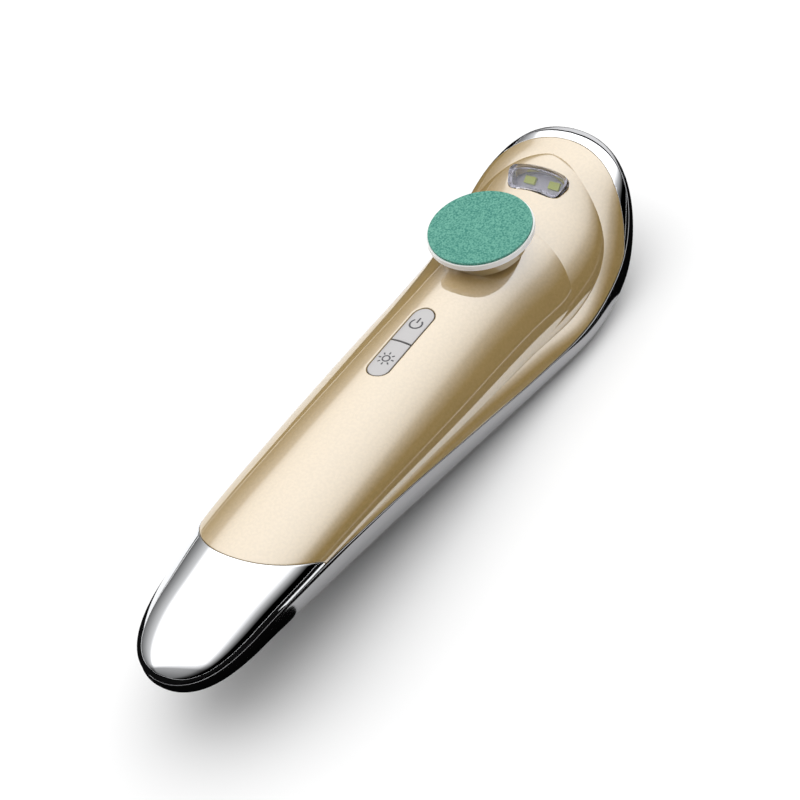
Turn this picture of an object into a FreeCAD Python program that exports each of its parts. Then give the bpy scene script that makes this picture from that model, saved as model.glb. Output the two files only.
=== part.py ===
import FreeCAD, Part
import Sketcher
import math
import os
from FreeCAD import Placement, Rotation, Vector

# Electric callus remover: a hand-held body with a spinning abrasive disc on its face.
#
# Frame: +X runs along the body from the tail to the lamp end, +Z points out of the
# face that carries the disc, and the body rests on its flat belly at Z = 0. X = 0 is
# half-way along. Millimetres throughout.
#
# Widths and heights of the body are given at ten named stations along its length and
# run smoothly between them.

doc = FreeCAD.newDocument("CallusRemover")
sheet = doc.addObject("Spreadsheet::Sheet", "Sizes")

STATIONS = ["tail", "heel", "rear", "grip", "neck", "throat", "head", "lamp", "brow", "nose"]
STATION_ROWS = {
    # distance of each station from the tail end
    "station": [0, 15, 35, 60, 90, 115, 132, 147, 159, 171],
    # the seam between the lower shell and the covers, where the body is widest
    "width": [12.6, 12.9, 15.6, 17.7, 19.9, 22.3, 24.3, 24.0, 23.8, 25.0],
    "seam": [19.9, 20.6, 21.1, 17.9, 11.9, 7.4, 6.3, 9.7, 17.2, 28.8],
    # how far the widest line of the body lies below the seam
    "bulge": [1.4, 1.4, 1.2, 0.7, 0.7, 1.5, 2.3, 3.2, 3.2, 2.4],
    # the crease that runs round the covers, above the side band
    "crease_width": [12.4, 13.0, 15.3, 16.6, 18.1, 19.0, 20.1, 20.3, 19.4, 19.6],
    "crease": [20.6, 21.3, 21.4, 19.0, 14.5, 10.7, 9.0, 13.6, 22.6, 29.3],
    # the rounded back of the handle, which ends in a round nose under the disc
    "crown": [24.6, 28.0, 29.4, 29.2, 28.1, 26.6, 25.2, 24.2, 24.0, 24.0],
    # the dished face of the head round that nose, rising to the lamp
    "face": [12.0, 12.0, 14.0, 15.0, 17.0, 20.5, 22.6, 25.0, 29.6, 30.0],
    # the underside, cut flat by the belly
    "keel": [13.0, 11.8, 8.4, 3.8, -1.2, -3.0, -2.1, 2.1, 9.3, 20.9],
}

SIZES = [
    ("tail_round", 19, "length of the rounded tail end, seen from above"),
    ("head_round", 30, "length of the rounded head end, seen from above"),
    ("nose_round", 19, "length of the rounded nose of the handle's back"),
    ("nose_end", 147.5, "where the handle's back ends, from the tail"),
    ("crease_end", 162, "where the crease closes at the head, from the tail"),
    ("crown_fullness", 0.455, "how full the covers' sections are, 0.55 being an ellipse"),
    ("face_fullness", 0.45, "how full the head's face is"),
    ("face_start", 80, "where the head's face starts under the handle's back, from the tail"),
    ("face_margin", 0.5, "how far the head's face reaches beyond the handle's back"),
    ("inner_fullness", 0.46, "how full the hollow is under the covers"),
    ("keel_fullness", 0.62, "how full the lower shell's sections are"),
    ("wall", 1.8, "wall of the shells and covers"),
    ("fit_gap", 0.1, "gap between pieces that only locate each other"),
    ("running_gap", 0.05, "radial gap of a shaft in its bush"),
    ("cap_edge_at", 44.2, "centre of the arc that ends the gold cover at the tail, from the tail"),
    ("cap_edge_radius", 16.5, "radius of that arc"),
    ("trim_edge_at", 142.0, "centre of the arc that ends the gold cover at the head, from the tail"),
    ("trim_width", 4.8, "width of the head trim at its middle"),
    ("disc_at", 128.6, "axis of the disc, from the tail"),
    ("disc_radius", 12.5, "radius of the backing disc"),
    ("disc_thickness", 2.0, "thickness of the backing disc at its rim"),
    ("disc_underside", 29.0, "height of the backing disc's underside"),
    ("disc_rim_round", 0.7, "rounding of the backing disc's rim"),
    ("pad_radius", 12.1, "radius of the abrasive pad"),
    ("pad_thickness", 0.6, "thickness of the abrasive pad"),
    ("hub_radius", 4.6, "radius of the hub under the disc"),
    ("hub_depth", 2.9, "depth of the hub under the disc"),
    ("collar_radius", 9.9, "radius of the collar under the disc"),
    ("collar_height", 3.0, "height of the collar above its seat"),
    ("collar_seat", 25.6, "height of the collar's seat on the cover"),
    ("collar_bore", 5.2, "radius of the recess in the collar for the hub"),
    ("spigot_radius", 7.0, "radius of the collar's spigot"),
    ("spigot_depth", 4.4, "depth of the collar's spigot under its seat"),
    ("bush_radius", 4.5, "outer radius of the spindle's bush"),
    ("bush_length", 2.7, "length of the spindle's bush"),
    ("seal_thickness", 1.2, "thickness of the felt seal above the bush"),
    ("spindle_radius", 2.5, "radius of the spindle in its bush"),
    ("peg_radius", 2.0, "radius of the peg that drives the disc"),
    ("peg_length", 4.0, "length of the peg"),
    ("shaft_radius", 1.0, "radius of the motor's shaft"),
    ("motor_radius", 12.0, "radius of the motor's can"),
    ("motor_height", 13.5, "height of the motor's can"),
    ("end_cap_height", 2.0, "height of the motor's end cap"),
    ("bearing_radius", 3.2, "radius of the bearing boss on the motor"),
    ("bearing_height", 1.6, "height of the bearing boss on the motor"),
    ("bracket_thickness", 1.2, "thickness of the motor's bracket"),
    ("seat_height", 6, "height of the ring that holds the motor at its foot"),
    ("bracket_screw_length", 5, "length of the bracket's screws"),
    ("bracket_reach", 17.0, "from the motor's axis to each bracket screw"),
    ("bracket_width", 7.0, "width of the bracket's ears"),
    ("small_screw_radius", 1.0, "radius of the small screws"),
    ("small_head_radius", 1.9, "radius of the small screws' heads"),
    ("small_head_height", 1.2, "height of the small screws' heads"),
    ("shell_screw_radius", 1.3, "radius of the shell screws"),
    ("shell_head_radius", 2.4, "radius of the shell screws' heads"),
    ("shell_head_height", 1.6, "height of the shell screws' heads"),
    ("shell_screw_length", 9.0, "length of the shell screws under the head"),
    ("boss_wall", 1.3, "wall of the screw bosses"),
    ("pill_at", 93.8, "centre of the two buttons, from the tail"),
    ("pill_length", 23.2, "length of the button opening"),
    ("pill_width", 5.8, "width of the button opening"),
    ("button_gap", 0.15, "gap round each button"),
    ("button_travel", 0.6, "travel of each button"),
    ("button_flange", 1.0, "how far a button's flange reaches under the cover"),
    ("flange_thickness", 1.0, "thickness of a button's flange"),
    ("flange_drop", 1.3, "how far the flanges lie under the cover's inner crown"),
    ("plunger_radius", 1.4, "radius of the plunger under a button"),
    ("plunger_length", 1.5, "length of the plunger under a button"),
    ("switch_side", 6.0, "side of a tactile switch"),
    ("switch_height", 3.4, "height of a tactile switch"),
    ("switch_stem_radius", 1.7, "radius of a switch's stem"),
    ("switch_stem_height", 0.8, "height of a switch's stem"),
    ("board_thickness", 1.2, "thickness of the circuit boards"),
    ("board_length", 26.0, "length of the control board"),
    ("board_width", 20.0, "width of the control board"),
    ("post_radius", 2.2, "radius of the posts that hold the control board"),
    ("post_depth", 4.0, "depth of the screw holes in those posts"),
    ("post_rear", -4.3, "from the middle of the board to its rear posts"),
    ("post_front", 10.5, "from the middle of the board to its front posts"),
    ("post_side", 7.5, "from the centre line to the posts"),
    ("neck_screws_at", 110, "screws at the neck, from the tail"),
    ("neck_screws_side", 12.5, "screws at the neck, from the centre line"),
    ("neck_screw_seat", 3.0, "height of the neck screws' seats"),
    ("head_screws_at", 149, "screws at the head, from the tail"),
    ("head_screws_side", 13.0, "screws at the head, from the centre line"),
    ("head_screw_seat", 7.5, "height of the head screws' seats"),
    ("tail_screw_at", 20, "screw at the tail, from the tail"),
    ("tail_screw_seat", 14.0, "height of the tail screw's seat"),
    ("window_at", 152.2, "centre of the lamp window, from the tail"),
    ("window_tilt", 28.0, "angle by which the window leans towards the disc"),
    ("window_span", 15.4, "length of the window round the disc's axis"),
    ("window_depth", 6.2, "width of the window"),
    ("window_bend", 22.0, "radius of the window's centre line"),
    ("lens_drop", 1.0, "depth of the lens below the cover's face"),
    ("lens_thickness", 1.2, "thickness of the lens"),
    ("reflector_depth", 3.0, "depth of the reflector"),
    ("reflector_wall", 0.8, "wall of the reflector"),
    ("led_length", 2.8, "length of a lamp chip"),
    ("led_width", 1.8, "width of a lamp chip"),
    ("led_height", 0.8, "height of a lamp chip"),
    ("led_spacing", 6.6, "distance between the two lamp chips"),
    ("cell_radius", 5.25, "radius of a battery cell"),
    ("cell_length", 44.5, "length of a battery cell, with its tip"),
    ("cell_tip_radius", 2.75, "radius of a cell's tip"),
    ("cell_tip", 1.0, "height of a cell's tip"),
    ("cell_gap", 0.4, "gap between the two cells"),
    ("cells_at", 62.0, "middle of the cells, from the tail"),
    ("cells_height", 12.4, "height of the cells' axes at their middle"),
    ("cells_tilt", 9.0, "angle by which the cells slope down to the head"),
    ("contact_room", 2.2, "room for the contacts at each end of the cells"),
    ("tray_wall", 1.2, "wall of the battery tray"),
    ("contact_margin", 4.0, "how much narrower than its cells a contact is"),
    ("contact_thickness", 0.4, "thickness of the battery contacts"),
    ("door_margin", 1.5, "how much smaller the door opening is than the tray"),
    ("door_gap", 0.3, "gap round the battery door"),
    ("hook_drop", 0.55, "how far the door's hook lies below the cells"),
    ("hook_stem", 2.5, "thickness of the rib that carries the door's hook"),
    ("hook_length", 2.0, "length of the door's hooks"),
    ("hook_width", 5.0, "width of each of the door's hooks"),
    ("hook_thickness", 1.0, "thickness of the door's hooks"),
]


class Size:
    """A number together with the spreadsheet expression that gives it."""

    def __init__(self, value, text):
        self.value = value
        self.text = text

    def __add__(self, other):
        other = as_size(other)
        return Size(self.value + other.value, f"({self.text} + {other.text})")

    def __sub__(self, other):
        other = as_size(other)
        return Size(self.value - other.value, f"({self.text} - {other.text})")

    def __mul__(self, other):
        other = as_size(other)
        return Size(self.value * other.value, f"({self.text} * {other.text})")

    def __truediv__(self, other):
        other = as_size(other)
        return Size(self.value / other.value, f"({self.text} / {other.text})")

    def __neg__(self):
        return Size(-self.value, f"(0 - {self.text})")

    __radd__ = __add__


def as_size(number):
    """A Size as it is, or a plain number as a Size."""
    if isinstance(number, Size):
        return number
    return Size(float(number), f"({number})")


def fill_sheet():
    """Write every size into the sheet, one row each, with its alias."""
    rows = [(f"{column}_{name}", value, f"{column} at the {name} station")
            for column, values in STATION_ROWS.items()
            for name, value in zip(STATIONS, values)]
    for number, (alias, value, note) in enumerate(rows + SIZES, start=1):
        sheet.set(f"A{number}", alias)
        sheet.set(f"B{number}", str(value))
        sheet.set(f"C{number}", note)
        sheet.setAlias(f"B{number}", alias)
    doc.recompute()


fill_sheet()


def size(alias):
    """The sheet's size of that name, as a bound Size."""
    return Size(float(sheet.get(alias)), f"Sizes.{alias}")


def mm(alias):
    """The sheet's size of that name, as a plain number."""
    return float(sheet.get(alias))


LENGTH = size("station_nose")


def along(alias):
    """A place given from the tail end, as a bound X."""
    return size(alias) - LENGTH / 2


# ---------------------------------------------------------------- body profiles

def smooth(column, at):
    """The column's value at a distance from the tail, on a smooth curve through its stations.

    Each span is a cubic whose end slopes are those of the chords beside it.
    """
    places = [mm(f"station_{name}") for name in STATIONS]
    values = [mm(f"{column}_{name}") for name in STATIONS]
    last = len(places) - 1
    span = 0
    while span < last - 1 and at > places[span + 1]:
        span += 1

    def slope(i):
        before, after = max(i - 1, 0), min(i + 1, last)
        return (values[after] - values[before]) / (places[after] - places[before])

    width = places[span + 1] - places[span]
    t = (at - places[span]) / width
    return (values[span] * (1 + 2 * t) * (1 - t) ** 2
            + values[span + 1] * t * t * (3 - 2 * t)
            + slope(span) * width * t * (1 - t) ** 2
            - slope(span + 1) * width * t * t * (1 - t))


def rounded(distance, reach, power=2.5):
    """0 at an end and 1 from `reach` on, as the flank of a superellipse."""
    if distance >= reach:
        return 1.0
    return max(1 - (1 - distance / reach) ** power, 0.0) ** (1 / 2.2)


def ends(at, rear, front, front_round):
    """How much of the full section is left near the tail and near the front end."""
    return rounded(at - rear, mm("tail_round"), 2.2) * rounded(front - at, front_round)


def stations_between(start, end, count):
    """Distances from the tail, close together near both ends."""
    spread = [start + (end - start) * (1 - math.cos(math.pi * i / count)) / 2
              for i in range(1, count)]
    return [start + END_FLAT] + spread + [end - END_FLAT]


# the handles of a Bezier quarter that follows an ellipse
ELLIPSE = 4 * (math.sqrt(2) - 1) / 3

# a lofted form starts and ends in a small flat this far from its tip
END_FLAT = 0.4


def quarter(at, side, half_width, foot, rise, fullness):
    """Poles of one quarter of a section, from its foot at side * half_width to Y = 0.

    It leaves the foot upright and reaches Y = 0 level. The fullness is the length of its
    two handles as a share of the half width and of the rise: ELLIPSE makes an ellipse.
    """
    x = at - LENGTH.value / 2
    y = side * half_width
    return [Vector(x, y, foot),
            Vector(x, y, foot + fullness * rise),
            Vector(x, y * fullness, foot + rise),
            Vector(x, 0, foot + rise)]


def section_wire(at, half_width, foot, rise, fullness, depth, deep_fullness):
    """A closed section across the body: an arch above the foot line and one below it."""
    runs = [quarter(at, -1, half_width, foot, rise, fullness),
            quarter(at, 1, half_width, foot, rise, fullness)[::-1],
            quarter(at, 1, half_width, foot, -depth, deep_fullness),
            quarter(at, -1, half_width, foot, -depth, deep_fullness)[::-1]]
    edges = []
    for poles in runs:
        curve = Part.BezierCurve()
        curve.setPoles(poles)
        edges.append(curve.toBSpline().toShape())
    return Part.Wire(edges)


def loft_form(name, section, start, end, count, ruled=False):
    """A closed form lofted through sections from start to end."""
    form = doc.addObject("Part::Feature", name)
    wires = [section(at) for at in stations_between(start, end, count)]
    form.Shape = Part.makeLoft(wires, True, ruled)
    return form


def body_section(at):
    """The outside of the lower shell, and above the seam the band up to the crease."""
    end = ends(at, 0, LENGTH.value, mm("head_round"))
    foot, width = smooth("seam", at) - smooth("bulge", at), smooth("width", at)
    share = min(smooth("crease_width", at) / width, 0.96)
    rise = max(smooth("crease", at) - foot, 0.4) / math.sqrt(1 - share ** 2)
    return section_wire(at, width * end, foot, rise * end, ELLIPSE,
                        (foot - smooth("keel", at)) * end, mm("keel_fullness"))


def crown_section(at):
    """The rounded back of the handle, down to below the seam."""
    end = ends(at, 0, mm("nose_end"), mm("nose_round"))
    crease, depth = smooth("crease", at), smooth("crease", at) - smooth("seam", at)
    return section_wire(at, smooth("crease_width", at) * end, crease,
                        (smooth("crown", at) - crease) * end ** 0.5,
                        mm("crown_fullness"), depth + mm("wall"), 1.0)


def face_section(at):
    """The dished face of the head inside the crease."""
    end = ends(at, 0, mm("crease_end"), mm("head_round"))
    crease, depth = smooth("crease", at), smooth("crease", at) - smooth("seam", at)
    reach = (at - mm("face_start")) / (mm("nose_end") - mm("face_start"))
    margin = mm("face_margin") * (2 * reach - 1)
    return section_wire(at, (smooth("crease_width", at) + margin) * end, crease,
                        max(smooth("face", at) - crease, 0.5),
                        mm("face_fullness"), depth + mm("wall"), 1.0)


def inner_section(at):
    """The hollow, one wall inside the covers and the lower shell."""
    wall = mm("wall")
    end = ends(at, wall, LENGTH.value - wall, mm("head_round"))
    foot = smooth("seam", at) - smooth("bulge", at)
    top = max(smooth("crown", at), smooth("face", at)) - wall
    half_width = min(smooth("width", at) - wall, smooth("crease_width", at) - wall / 2)
    return section_wire(at, half_width * end, foot, (top - foot) * end,
                        mm("inner_fullness"), (foot - smooth("keel", at) - wall) * end,
                        mm("keel_fullness"))


# ------------------------------------------------------------- document helpers

def cylinder(name, radius, height, x=0, y=0, z=0):
    """An upright cylinder bound to the sheet, standing on z."""
    piece = doc.addObject("Part::Cylinder", name)
    bind(piece, Radius=radius, Height=height)
    put(piece, x, y, z)
    return piece


def box(name, length, width, height, x=0, y=0, z=0):
    """A box bound to the sheet, centred on x and y and standing on z."""
    piece = doc.addObject("Part::Box", name)
    length, width = as_size(length), as_size(width)
    bind(piece, Length=length, Width=width, Height=height)
    put(piece, as_size(x) - length / 2, as_size(y) - width / 2, z)
    return piece


def bind(piece, **sizes):
    """Give properties their values and the expressions behind them."""
    for name, number in sizes.items():
        number = as_size(number)
        setattr(piece, name, number.value)
        piece.setExpression(name, number.text)


def put(piece, x, y, z):
    """Place a piece, with the place bound to the sheet."""
    x, y, z = as_size(x), as_size(y), as_size(z)
    piece.Placement = Placement(Vector(x.value, y.value, z.value), Rotation())
    for axis, number in zip("xyz", (x, y, z)):
        piece.setExpression(f"Placement.Base.{axis}", number.text)


def cut(name, base, tool):
    piece = doc.addObject("Part::Cut", name)
    piece.Base, piece.Tool = base, tool
    return piece


def common(name, *shapes):
    piece = doc.addObject("Part::MultiCommon", name)
    piece.Shapes = list(shapes)
    return piece


def fuse(name, *shapes):
    piece = doc.addObject("Part::MultiFuse", name)
    piece.Shapes = list(shapes)
    return piece


def origin_plane(body, role):
    """The body's own origin plane or axis of that role."""
    return next(o for o in body.Origin.OriginFeatures if o.Role == role)


def polygon_sketch(body, name, role, corners, circles=()):
    """A sketch on the body's plane: a closed polygon and circles, every size bound.

    A corner is (across, up); a circle is (across, up, radius). All are Sizes or numbers.
    """
    sketch = body.newObject("Sketcher::SketchObject", name)
    sketch.AttachmentSupport = [(origin_plane(body, role), "")]
    sketch.MapMode = "FlatFace"
    corners = [(as_size(a), as_size(b)) for a, b in corners]
    bound = []
    for i, (a, b) in enumerate(corners):
        c, d = corners[(i + 1) % len(corners)]
        sketch.addGeometry(Part.LineSegment(Vector(a.value, b.value, 0),
                                            Vector(c.value, d.value, 0)), False)
    for i in range(len(corners)):
        sketch.addConstraint(Sketcher.Constraint("Coincident", i, 2, (i + 1) % len(corners), 1))
    for i, (a, b) in enumerate(corners):
        bound.append(("DistanceX", i, 1, a))
        bound.append(("DistanceY", i, 1, b))
    for a, b, radius in circles:
        a, b, radius = as_size(a), as_size(b), as_size(radius)
        i = sketch.addGeometry(Part.Circle(Vector(a.value, b.value, 0), Vector(0, 0, 1),
                                           radius.value), False)
        bound.append(("DistanceX", i, 3, a))
        bound.append(("DistanceY", i, 3, b))
        bound.append(("Radius", i, None, radius))
    for kind, i, point, number in bound:
        if kind == "Radius":
            index = sketch.addConstraint(Sketcher.Constraint(kind, i, number.value))
        else:
            index = sketch.addConstraint(
                Sketcher.Constraint(kind, -1, 1, i, point, number.value))
        sketch.setExpression(f"Constraints[{index}]", number.text)
    return sketch


def new_body(name, x=0, y=0, z=0):
    body = doc.addObject("PartDesign::Body", name)
    put(body, x, y, z)
    return body


def revolve(name, corners, x=0, y=0, z=0):
    """A body turned about its own Z from a half profile of (radius, height) corners."""
    body = new_body(name, x, y, z)
    sketch = polygon_sketch(body, f"{name}_profile", "XZ_Plane", corners)
    turned = body.newObject("PartDesign::Revolution", f"{name}_turned")
    turned.Profile = sketch
    turned.ReferenceAxis = (sketch, ["V_Axis"])
    turned.Angle = 360
    return body


def plate(name, corners, thickness, circles=(), x=0, y=0, z=0):
    """A body of even thickness from a polygon, with round holes through it."""
    body = new_body(name, x, y, z)
    sketch = polygon_sketch(body, f"{name}_outline", "XY_Plane", corners, circles)
    pad = body.newObject("PartDesign::Pad", f"{name}_pad")
    pad.Profile = sketch
    bind(pad, Length=thickness)
    return body


def rectangle(length, width):
    """Corners of a rectangle about the origin."""
    a, b = as_size(length) / 2, as_size(width) / 2
    return [(-a, -b), (a, -b), (a, b), (-a, b)]


# -------------------------------------------------------------------- the forms

WALL = size("wall")
GAP = size("fit_gap")
RUN = size("running_gap")
AXIS = along("disc_at")
TRIM_RADIUS = LENGTH - size("trim_edge_at") - size("trim_width")
LENGTH_MM = LENGTH.value

body_form = loft_form("body_form", body_section, 0, LENGTH_MM, 14)
crown_form = loft_form("crown_form", crown_section, 0, mm("nose_end"), 14)
face_form = loft_form("face_form", face_section, mm("face_start"), mm("crease_end"), 9)
inner_form = loft_form("inner_form", inner_section, mm("wall"), LENGTH_MM - mm("wall"),
                       12, ruled=True)
hollow_form = common("hollow_form", inner_form,
                     box("above_belly", LENGTH * 2, LENGTH, 80, 0, 0, WALL))


def seam_side(name, top):
    """Everything above the seam, up to `top`, or below it when `top` is low."""
    half = LENGTH_MM / 2
    count = 24
    points = [Vector(LENGTH_MM * i / count - half, 0, smooth("seam", LENGTH_MM * i / count))
              for i in range(count + 1)]
    curve = Part.BSplineCurve()
    curve.interpolate(points)
    first, last = points[0], points[-1]
    corners = [last, Vector(last.x + 20, 0, last.z), Vector(last.x + 20, 0, top),
               Vector(first.x - 20, 0, top), Vector(first.x - 20, 0, first.z), first]
    wire = Part.Wire([curve.toShape()] + Part.makePolygon(corners).Edges)
    side = doc.addObject("Part::Feature", name)
    reach = 2 * mm("width_nose")
    side.Shape = Part.Face(wire).extrude(Vector(0, 2 * reach, 0))
    side.Placement = Placement(Vector(0, -reach, 0), Rotation())
    return side


above_seam = seam_side("above_seam", 80.0)
outside = fuse("outside", body_form, crown_form, face_form)
cover_skin = common("cover_skin", outside, above_seam)

# the covers are the skin above the seam, parted by two upright arcs
rear_arc = fuse("rear_arc",
                cylinder("rear_arc_disc", size("cap_edge_radius"), 80, along("cap_edge_at"), 0, -20),
                box("rear_arc_block", LENGTH, LENGTH, 80,
                    along("cap_edge_at") + LENGTH / 2, 0, -20))
front_arc = fuse("front_arc",
                 cylinder("front_arc_disc", TRIM_RADIUS, 80,
                          along("trim_edge_at"), 0, -20),
                 box("front_arc_block", LENGTH, LENGTH, 80,
                     along("trim_edge_at") - LENGTH / 2, 0, -20))
cover_shell = cut("cover_shell", cover_skin, hollow_form)

nose_cap = cut("nose_cap_shell", cover_shell, rear_arc)
head_trim = cut("head_trim_shell", cover_shell, front_arc)
gold_region = common("gold_region", rear_arc, front_arc)
gold_shell = common("gold_shell", cover_shell, gold_region)

lower_skin = cut("lower_skin", body_form, above_seam)
flat_belly = common("flat_belly", lower_skin,
                    box("above_floor", LENGTH * 2, LENGTH, 80))
lower_tub = cut("lower_tub", flat_belly, hollow_form)

inside_floor = common("inside_floor", outside,
                      box("above_ground", LENGTH * 2, LENGTH, 80))
nodes = {}


def node(name, piece):
    """Name a finished sub-part."""
    piece.Label = name
    nodes[name] = piece


def tilted(piece, at, height, angle, x=0.0, y=0.0, z=0.0, turn=None):
    """Place a piece in a frame that stands at (at, height) and is turned about Y."""
    frame = Placement(Vector(at - LENGTH_MM / 2, 0, height),
                      Rotation(Vector(0, 1, 0), angle))
    piece.Placement = frame * Placement(Vector(x, y, z), turn or Rotation())
    return piece


# ------------------------------------------------------------------ motor stack

CAN_BASE = WALL + size("end_cap_height")
CAN_TOP = CAN_BASE + size("motor_height")
BEARING_TOP = CAN_TOP + size("bearing_height")
PEG_BASE = size("disc_underside") - size("hub_depth") - GAP
SPIGOT_BASE = size("collar_seat") - size("spigot_depth")
BUSH_TOP = SPIGOT_BASE + size("bush_length")
SEAL_TOP = BUSH_TOP + size("seal_thickness")


def motor():
    """A flat can motor that stands on the floor, with its shaft up towards the disc."""
    radius, shaft = size("motor_radius"), size("shaft_radius")
    inset = as_size(0.6)
    node("motor_end_cap", revolve("end_cap", [
        (0, WALL), (radius - inset * 2, WALL), (radius - inset, WALL + inset),
        (radius - inset, CAN_BASE), (0, CAN_BASE)], AXIS))
    node("motor_can", revolve("can", [
        (0, CAN_BASE), (radius, CAN_BASE), (radius, CAN_TOP - inset),
        (radius - inset, CAN_TOP), (size("bearing_radius"), CAN_TOP),
        (size("bearing_radius"), BEARING_TOP), (shaft + RUN, BEARING_TOP),
        (shaft + RUN, CAN_BASE + 3), (0, CAN_BASE + 3)], AXIS))
    node("motor_shaft", revolve("shaft", [
        (0, CAN_BASE + 3.2), (shaft, CAN_BASE + 3.2), (shaft, PEG_BASE - 2),
        (0, PEG_BASE - 2)], AXIS))


def motor_bracket():
    """The plate that holds the motor down, with an ear to each side along the body."""
    reach, width = size("bracket_reach"), size("bracket_width")
    ears = box("bracket_ears", reach * 2, width, size("bracket_thickness"), AXIS, 0, CAN_TOP)
    middle = cylinder("bracket_middle", size("motor_radius") - 2.5, size("bracket_thickness"),
                      AXIS, 0, CAN_TOP)
    ends = [cylinder(f"bracket_end_{i}", width / 2, size("bracket_thickness"),
                     AXIS + reach * side, 0, CAN_TOP) for i, side in enumerate((-1, 1))]
    holes = [cylinder(f"bracket_hole_{i}", size("small_screw_radius") + GAP, 10,
                      AXIS + reach * side, 0, CAN_TOP - 5) for i, side in enumerate((-1, 1))]
    holes.append(cylinder("bracket_bore", size("bearing_radius") + GAP, 10,
                          AXIS, 0, CAN_TOP - 5))
    node("motor_bracket", cut("bracket", fuse("bracket_blank", ears, middle, *ends),
                              fuse("bracket_holes", *holes)))


def screw(name, radius, head_radius, head_height, length, x, y, seat, up=True):
    """A pan-head screw seated at `seat`, with its shank going up, or down."""
    side = 1 if up else -1
    seat, radius, head_radius = as_size(seat), as_size(radius), as_size(head_radius)
    head, chamfer = as_size(head_height) * side, as_size(0.3)
    return revolve(name, [
        (0, seat - head), (head_radius - chamfer, seat - head),
        (head_radius, seat - head + chamfer * side), (head_radius, seat), (radius, seat),
        (radius, seat + as_size(length) * side), (0, seat + as_size(length) * side)], x, y)


def group(name, pieces):
    """Separate solids of one node."""
    piece = doc.addObject("Part::Compound", name)
    piece.Links = pieces
    return piece


def bracket_screws():
    reach, seat = size("bracket_reach"), CAN_TOP + size("bracket_thickness")
    node("bracket_screws", group("bracket_screw_pair", [
        screw(f"bracket_screw_{i}", size("small_screw_radius"), size("small_head_radius"),
              size("small_head_height"), size("bracket_screw_length"),
              AXIS + reach * side, 0, seat, up=False)
        for i, side in enumerate((-1, 1))]))


def spindle():
    """The brass spindle on the motor's shaft, with the peg that carries the disc."""
    base = BEARING_TOP + 0.3
    neck, bore = size("spindle_radius"), size("shaft_radius") + 0.02
    peg_top = PEG_BASE + size("peg_length")
    node("drive_spindle", revolve("spindle", [
        (bore, base), (neck + 0.9, base), (neck + 0.9, SPIGOT_BASE - 0.6),
        (neck, SPIGOT_BASE - 0.6), (neck, PEG_BASE), (size("peg_radius"), PEG_BASE),
        (size("peg_radius"), peg_top - 0.4), (size("peg_radius") - 0.4, peg_top),
        (0, peg_top), (0, PEG_BASE - 1.9), (bore, PEG_BASE - 1.9)], AXIS))
    node("spindle_bush", revolve("bush", [
        (neck + RUN, SPIGOT_BASE), (size("bush_radius"), SPIGOT_BASE),
        (size("bush_radius"), BUSH_TOP), (neck + RUN, BUSH_TOP)], AXIS))
    node("dust_seal", revolve("seal", [
        (neck + GAP, BUSH_TOP), (size("bush_radius"), BUSH_TOP),
        (size("bush_radius"), SEAL_TOP), (neck + GAP, SEAL_TOP)], AXIS))


def collar():
    """The round collar on the cover, whose spigot holds the bush and the seal."""
    seat, radius = size("collar_seat"), size("collar_radius")
    top, bore = seat + size("collar_height"), size("bush_radius") + GAP / 5
    lip, edge = size("spindle_radius") + 0.6, as_size(0.5)
    node("head_collar", revolve("collar", [
        (bore, SPIGOT_BASE), (size("spigot_radius"), SPIGOT_BASE),
        (size("spigot_radius"), seat), (radius, seat), (radius, top - edge),
        (radius - edge, top), (size("collar_bore"), top), (size("collar_bore"), SEAL_TOP + 0.6),
        (lip, SEAL_TOP + 0.6), (lip, SEAL_TOP), (bore, SEAL_TOP)], AXIS))


def sanding_head():
    """The backing disc with its hub, and the abrasive pad bonded to it."""
    under, rim, radius = size("disc_underside"), size("disc_rim_round"), size("disc_radius")
    top, hub = under + size("disc_thickness"), size("hub_radius")
    bore = size("peg_radius") + RUN
    disc = revolve("disc", [
        (bore, under - size("hub_depth")), (hub, under - size("hub_depth")), (hub, under),
        (radius - rim * 2, under), (radius, under + rim), (radius, top), (0, top),
        (0, PEG_BASE + size("peg_length") + GAP), (bore, PEG_BASE + size("peg_length") + GAP)],
        AXIS)
    node("backing_disc", disc)
    node("sanding_pad", revolve("pad", [
        (0, top), (size("pad_radius"), top), (size("pad_radius"), top + size("pad_thickness")),
        (0, top + size("pad_thickness"))], AXIS))


motor()
motor_bracket()
bracket_screws()
spindle()
collar()
sanding_head()


# ------------------------------------------------------- buttons and their board

PILL = along("pill_at")
CROWN_AT_PILL = as_size(smooth("crown", mm("pill_at")))
FLANGE_TOP = CROWN_AT_PILL - WALL - size("flange_drop")
PLUNGER_BASE = FLANGE_TOP - size("flange_thickness") - size("plunger_length")
STEM_TOP = PLUNGER_BASE - size("button_travel") - GAP
BOARD_TOP = STEM_TOP - size("switch_stem_height") - size("switch_height")
BUTTON_STEP = size("pill_length") / 4


def slot(name, length, width, height, x, z):
    """An upright prism with the outline of a slot with round ends."""
    length, width = as_size(length), as_size(width)
    straight = length - width
    return fuse(name, box(f"{name}_middle", straight, width, height, x, 0, z),
                cylinder(f"{name}_rear", width / 2, height, as_size(x) - straight / 2, 0, z),
                cylinder(f"{name}_front", width / 2, height, as_size(x) + straight / 2, 0, z))


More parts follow.
